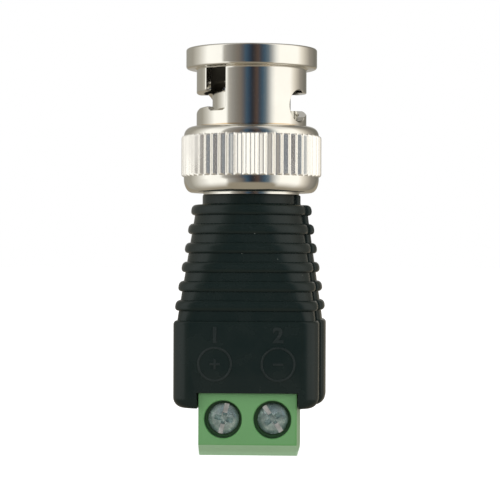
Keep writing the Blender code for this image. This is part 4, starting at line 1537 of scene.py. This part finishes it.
@dataclass
class TerminalBlock:
    """The green block with its two screw holes, wire entries and clamps.

    The wire entry's rings are (half width, low Y, high Y, z).
    """

    looks: Looks
    half_width: float = 5.0
    front: float = -5.3
    back: float = 5.0
    height: float = 7.6
    chamfer: float = 1.15
    pole: float = 2.5
    screw_height: float = 3.73
    hole_radius: float = 1.9
    mouth: float = 0.15
    head_seat: float = -3.5
    shank_hole: float = 1.22
    room_half: float = 1.97
    room_tall: float = 1.85
    room_back: float = 3.3
    entry_rings: tuple[tuple[float, float, float, float], ...] = (
        (1.95, 0.02, 3.08, -0.25), (1.7, 0.27, 2.83, 0.0), (1.45, 0.52, 2.58, 0.25),
        (1.45, 0.52, 2.58, 2.13))
    bar_half_width: float = 1.14
    bar_half_depth: float = 0.44
    bar_bottom: float = 0.98

    def cutters(self, x: float) -> list[Piece]:
        """The hollows of one pole: screw hole, cage room, wire entry and bar slot.

        Args:
            x: the pole's middle.

        Returns:
            The cutters.
        """
        z, hole, face, seat = self.screw_height, self.hole_radius, self.front, self.head_seat
        wide, shank = hole + self.mouth + 0.3, self.shank_hole
        bore = [(0.0, face - 1.0), (wide, face - 1.0), (wide, face - 0.05)]
        bore += [(hole + self.mouth * a, face + self.mouth * b) for a, b in quarter(5)]
        bore += [(hole, seat + 0.03), (shank, seat + 0.03), (shank, seat + 0.3), (0.0, seat + 0.3)]
        points = []
        for half, low, high, level in self.entry_rings:
            points += [(x - half, low, level), (x + half, low, level), (x + half, high, level),
                       (x - half, high, level)]
        half, tall = self.room_half, self.room_tall
        bar, deep = self.bar_half_width, self.bar_half_depth
        return [
            move(turned("cutter", bore, None, 96, closed=False), -math.pi / 2, "X", x, 0.0, z),
            box_cutter((x - half, seat + 0.11, z - tall), (x + half, self.room_back, z + tall)),
            mesh_object("cutter", points, grid_faces(4, 4, False, True)),
            box_cutter((x - bar, -deep, self.bar_bottom), (x + bar, deep, self.height + 1)),
        ]

    def block(self) -> Piece:
        """The moulded block with rounded edges and the chamfered foot.

        Returns:
            The piece.
        """
        cut, front, back, top = self.chamfer, self.front, self.back, self.height
        outline = filleted([(front, cut, 0.1), (front, top, 0.08), (back, top, 0.08),
                            (back, 0.0, 0.1), (front + cut, 0.0, 0.1)], turn=30.0)
        block = rounded_prism("green_block", outline, 0, -self.half_width, self.half_width, 0.09,
                              self.looks["green_block"], 3)
        cutters = [cutter for side in Side for cutter in self.cutters(side.value * self.pole)]
        return even_normals(carve(block, cutters))

    def build(self) -> list[Piece]:
        """Make the block and dress its metal parts.

        Returns:
            The pieces.
        """
        steel, tin = self.looks["zinc_steel"], self.looks["tinned_copper"]
        made = [place(self.block(), "housing", "green_plastic", "terminal_block")]
        for side in ("left", "right"):
            made.append(dress(f"clamp_cage_{side}", steel, 0.08))
            made.append(dress(f"contact_bar_{side}", tin, 0.05))
        return made + [dress(f"{link}_link", tin) for link in ("signal", "ground")]


@dataclass
class TerminalScrew:
    """One terminal screw: rounded head with a straight slot and a cross recess, and a shank."""

    looks: Looks
    side: Side
    drive_angle: float
    pole: float = 2.5
    height: float = 3.73
    head_top: float = -4.3
    head_seat: float = -3.54
    head_radius: float = 1.57
    shank_radius: float = 1.1
    tip: float = -0.44
    slot_width: float = 0.52
    slot_depth: float = 0.38
    slot_taper: float = 0.92
    recess_length: float = 0.98
    recess_depth: float = 0.62
    recess_half: float = 0.26
    recess_floor: float = 0.34
    recess_floor_half: float = 0.16
    slot_reach: float = 2.0
    cutter_above: float = 0.3
    # worn_from: how far from the head's middle the slot floor gets the painted highlight
    worn_from: float = 0.95
    thread_pitch: float = 0.5
    thread_depth: float = 0.2

    def body(self) -> Piece:
        """The turned head and the shank with its thread's rings.

        Returns:
            The uncut screw along +Y.
        """
        head, shank = self.head_radius, self.shank_radius
        crown, seat = self.head_top, self.head_seat
        corners = [(0.0, crown, 0.0), (0.6, crown + 0.01, 0.5), (1.1, crown + 0.05, 0.6),
                   (head - 0.12, crown + 0.15, 0.3), (head, crown + 0.3, 0.1), (head, seat, 0.06),
                   (shank, seat, 0.0)]
        y = seat + 0.25
        while y + self.thread_pitch < self.tip - 0.2:
            root = shank - self.thread_depth
            corners += [(shank, y, 0.03), (root, y + self.thread_pitch / 2, 0.04)]
            y += self.thread_pitch
        corners += [(shank, y, 0.03), (shank * 0.75, self.tip, 0.08), (0.0, self.tip, 0.0)]
        made = turned(f"combi_screw_{self.side.name.lower()}", filleted(corners, closed=False),
                      self.looks["zinc_screw"], 96, closed=False)
        return move(made, -math.pi / 2, "X", self.side.value * self.pole, 0.0, self.height)

    def drive_cutters(self) -> list[Piece]:
        """The straight slot and the two tapered arms of the cross recess.

        Returns:
            The cutters.
        """
        made, half, reach = [], self.slot_width / 2, self.slot_reach
        shapes = [(half, half * self.slot_taper, reach, reach, self.slot_depth, 0.0)]
        shapes += [(self.recess_half, self.recess_floor_half, self.recess_length,
                    self.recess_floor, self.recess_depth, turn) for turn in (0.0, 90.0)]
        for wide, narrow, long, short, depth, turn in shapes:
            grow = self.cutter_above / depth
            rings = [(long + (long - short) * grow, wide + (wide - narrow) * grow,
                      self.head_top - self.cutter_above), (short, narrow, self.head_top + depth)]
            points = [(a, y, b) for reach, half, y in rings
                      for a, b in ((-reach, -half), (reach, -half), (reach, half), (-reach, half))]
            cutter = mesh_object("cutter", points, grid_faces(2, 4, False, True))
            angle = math.radians(self.drive_angle) + math.radians(turn)
            made.append(move(cutter, angle, "Y", self.side.value * self.pole, 0.0, self.height))
        return made

    def build(self) -> list[Piece]:
        """Make the screw, with a painted highlight on its slot's ends, and fix it to its body.

        Returns:
            The pieces.
        """
        name = self.side.name.lower()
        screw = carve(self.body(), self.drive_cutters())
        screw.data.materials.append(self.looks["slot_end_highlight"])
        for face in screw.data.polygons:
            x, y, z = (value / MM for value in face.center)
            away = math.hypot(x - self.side.value * self.pole, z - self.height)
            floor = abs(y - self.head_top - self.slot_depth) < 0.02 and face.normal.y < -0.9
            # the slot floor's outer ends get the painted highlight
            if away > self.worn_from and floor:
                face.material_index = 1
        return [place(screw, f"screw_{name}", "zinc_steel", f"terminal_screw_{name}")]


# Studio


def eased(value: float, low: float, high: float) -> float:
    """A smooth step from 0 at low to 1 at high."""
    share = min(1.0, max(0.0, (value - low) / (high - low)))
    return share * share * (3 - 2 * share)


FAR, LEFT_WHITE, RIGHT_WHITE = (0.48, 0.47, 0.44), (1.26, 1.25, 1.2), (1.3, 1.27, 1.2)
BLUE = (0.06, 0.11, 0.165)


@dataclass
class Studio:
    """Pale floor, soft lamps, reflection cards and the camera.

    A card is (azimuth from the camera, colour). The cards stand from behind over the left, the
    front and the right, and blend between.
    """

    yaw: float = 3.25
    roll: float = 0.2
    camera_height: float = 20.86
    distance: float = 200.96
    focal: float = 1938.5
    axis_column: float = 251.07
    picture: float = 500.0
    sensor: float = 36.0
    centre: Vector = field(default_factory=lambda: Vector((0.0, 0.0, 0.0208)))
    lamp_distance: float = 0.5
    room_radius: float = 0.15
    room_height: float = 0.034
    room_floor: float = 0.0004
    ground: Triple = (0.345, 0.305, 0.235)
    ceiling: Triple = (0.13, 0.125, 0.12)
    cards: tuple[tuple[float, Triple], ...] = (
        (-180, FAR), (-168, FAR), (-160, (0.34, 0.33, 0.29)), (-124, (0.40, 0.38, 0.33)),
        (-105, (0.68, 0.66, 0.60)), (-93, (0.95, 0.93, 0.88)), (-82, LEFT_WHITE),
        (-53, LEFT_WHITE), (-48, (0.50, 0.48, 0.44)), (-40, (0.36, 0.345, 0.32)),
        (-31, (0.26, 0.245, 0.22)), (-22, (0.21, 0.18, 0.155)), (-15, (0.11, 0.115, 0.13)),
        (-10, BLUE), (-4, (0.035, 0.06, 0.10)), (1, (0.03, 0.035, 0.045)),
        (5, (0.055, 0.045, 0.045)), (11, (0.11, 0.075, 0.06)), (16, (0.06, 0.07, 0.09)),
        (22, BLUE), (29, (0.15, 0.20, 0.24)), (35, (0.45, 0.46, 0.46)), (43, (1.0, 1.0, 0.96)),
        (50, RIGHT_WHITE), (86, RIGHT_WHITE), (96, (0.98, 0.92, 0.82)), (106, (0.68, 0.63, 0.55)),
        (120, (0.35, 0.32, 0.28)), (142, (0.21, 0.20, 0.17)), (160, (0.22, 0.21, 0.18)),
        (169, FAR), (180, FAR))
    lamps: tuple[tuple[str, float, float, float, float], ...] = (
        ("left_softbox", -62, 9, 0.42, 1.85), ("right_softbox", 62, 9, 0.42, 1.6),
        ("front_softbox", 4, 5, 0.3, 3.6), ("top_softbox", 160, 62, 0.4, 1.0))

    def direction(self, azimuth: float, elevation: float = 0.0) -> Vector:
        """The unit vector from the object; azimuth 0 is the camera's and grows to the right."""
        a, e = math.radians(azimuth + self.yaw), math.radians(elevation)
        return Vector((math.sin(a) * math.cos(e), -math.cos(a) * math.cos(e), math.sin(e)))

    def camera(self) -> None:
        """Set the camera level with the middle of the object, at the photograph's angle."""
        data = bpy.data.cameras.new("camera")
        data.sensor_width, data.lens = self.sensor, self.focal * self.sensor / self.picture
        data.shift_x = (self.picture / 2 - self.axis_column) / self.picture
        data.clip_start, data.clip_end = 0.01, 20.0
        camera = add_object("camera", data)
        spot = self.direction(0.0) * self.distance * MM + Vector((0, 0, self.camera_height * MM))
        turn = Matrix.Rotation(math.radians(self.yaw), 4, "Z")
        turn = turn @ Matrix.Rotation(math.radians(90), 4, "X")
        turn = turn @ Matrix.Rotation(math.radians(self.roll), 4, "Z")
        camera.matrix_world = Matrix.Translation(spot) @ turn
        bpy.context.scene.camera = camera

    def room_colour(self, azimuth: float, elevation: float) -> list[float]:
        """The light that comes from one direction of the room.

        Args:
            azimuth: from the camera's direction.
            elevation: above the level.

        Returns:
            The colour with its alpha.
        """
        side, behind = eased(abs(azimuth), 36.0, 50.0), eased(abs(azimuth), 138.0, 152.0)
        start = (23.0 - 5.0 * side) * (1 - behind) + behind
        stop = (33.0 + 27.0 * side) * (1 - behind) + 6.0 * behind
        high, low = eased(elevation, 26.0, 62.0), eased(-elevation, start, stop)
        if -100 < azimuth < 0:
            azimuth *= 1 + 0.4 * (1 + azimuth / 100) * eased(-elevation, 2.0, 10.0)
        places = [place for place, _ in self.cards]
        colours = zip(*(colour for _, colour in self.cards))
        upright = np.array([np.interp(azimuth, places, values) for values in colours])
        above = upright * 0.55 + np.array(self.ceiling)
        mixed = (upright * (1 - high) + above * high) * (1 - low) + np.array(self.ground) * low
        return [*mixed, 1.0]

    def room(self) -> None:
        """Hang the cards as one closed room, with its own ground, that only reflections see."""
        columns, rows, heart = 480, 60, Vector((0.0, 0.0, self.room_height))
        points, colours = [], []
        for j in range(rows + 1):
            elevation = -90 + 180 * j / rows
            for i in range(columns):
                azimuth = -180 + 360 * i / columns
                way, reach = self.direction(azimuth, elevation), self.room_radius
                if way.z < 0:
                    reach = min(reach, (self.room_height - self.room_floor) / -way.z)
                points.append(heart + way * reach)
                colours += self.room_colour(azimuth, elevation)
        mesh = bpy.data.meshes.new("reflection_room")
        mesh.from_pydata(points, [], grid_faces(rows + 1, columns, False, False))
        paint = mesh.attributes.new("card_colour", "FLOAT_COLOR", "POINT")
        paint.data.foreach_set("color", colours)
        material = bpy.data.materials.new("reflection_cards")
        material.use_nodes = True
        nodes, graph = material.node_tree.nodes, Graph(material.node_tree)
        nodes.remove(nodes["Principled BSDF"])
        colour = graph.node("Attribute", attribute_name="card_colour").outputs["Color"]
        glow = graph.node("Emission", {"Color": colour, "Strength": 1.0}).outputs[0]
        graph.feed(nodes["Material Output"], {"Surface": glow})
        material.cycles.emission_sampling = "NONE"
        mesh.materials.append(material)
        room = add_object("reflection_room", mesh)
        room.visible_camera = room.visible_diffuse = False
        room.visible_shadow = room.visible_transmission = False

    def lamp(self, name: str, azimuth: float, elevation: float, size: float,
             radiance: float) -> None:
        """Hang a square softbox that faces the object.

        Args:
            name: the lamp's name.
            azimuth: from the camera's direction.
            elevation: above the level.
            size: its side in metres.
            radiance: its brightness, where 1 is white.
        """
        data = bpy.data.lights.new(name, "AREA")
        data.shape, data.size = "SQUARE", size
        data.energy = radiance * math.pi * size * size
        lamp = add_object(name, data)
        away = self.direction(azimuth, elevation)
        lamp.location = self.centre + away * self.lamp_distance
        lamp.rotation_euler = away.to_track_quat("Z", "Y").to_euler()
        lamp.visible_camera = lamp.visible_glossy = False

    def floor(self) -> None:
        """Lay the pale floor, white to the eye, on which the object still casts a shadow."""
        steps, radii = 96, (20.0, 50.0, 100.0, 200.0, 600.0, 2000.0)
        points = [(r * math.cos(math.tau * i / steps), r * math.sin(math.tau * i / steps), 0.0)
                  for r in radii for i in range(steps)]
        faces = grid_faces(len(radii), steps, False, False) + [tuple(range(steps))]
        material = bpy.data.materials.new("pale_floor")
        material.use_nodes = True
        graph = Graph(material.node_tree)
        graph.feed(material.node_tree.nodes["Principled BSDF"], {
            "Emission Strength": graph.times(graph.seen(), 0.85),
            "Emission Color": (1.0, 1.0, 1.0, 1.0),
            "Base Color": (0.6, 0.6, 0.6, 1.0),
            "Roughness": 0.9,
            "Specular IOR Level": 0.0,
        })
        floor = mesh_object("pale_floor", points, faces, material)

    def world(self) -> None:
        """A white surround for the eye and a plain grey light for everything else."""
        world = bpy.data.worlds.new("studio")
        bpy.context.scene.world = world
        world.use_nodes = True
        graph = Graph(world.node_tree)
        strength = graph.stretch(graph.seen(), 0.0, 1.0, 0.45, 1.0)
        graph.feed(world.node_tree.nodes["Background"],
                   {"Color": (1.0, 1.0, 1.0, 1.0), "Strength": strength})

    def build(self) -> None:
        """Set up the whole studio."""
        self.camera()
        self.room()
        for lamp in self.lamps:
            self.lamp(*lamp)
        self.floor()
        self.world()
        bpy.context.scene.view_settings.view_transform = "Standard"


def main() -> None:
    """Build the sub-assemblies in order, then the studio."""
    logging.basicConfig(level=logging.INFO, format="%(name)s %(message)s")
    looks = {finish.name: finish.material() for finish in FINISHES}
    for part in (CouplingNut(looks), PlugCore(looks), Housing(looks), TerminalBlock(looks),
                 TerminalScrew(looks, Side.LEFT, -77.0), TerminalScrew(looks, Side.RIGHT, 56.0)):
        for piece in part.build():
            faces = len(piece.data.polygons)
            LOG.info("%s: %s, %d faces", type(part).__name__, piece.name, faces)
    Studio().build()


if __name__ == "__main__":
    main()
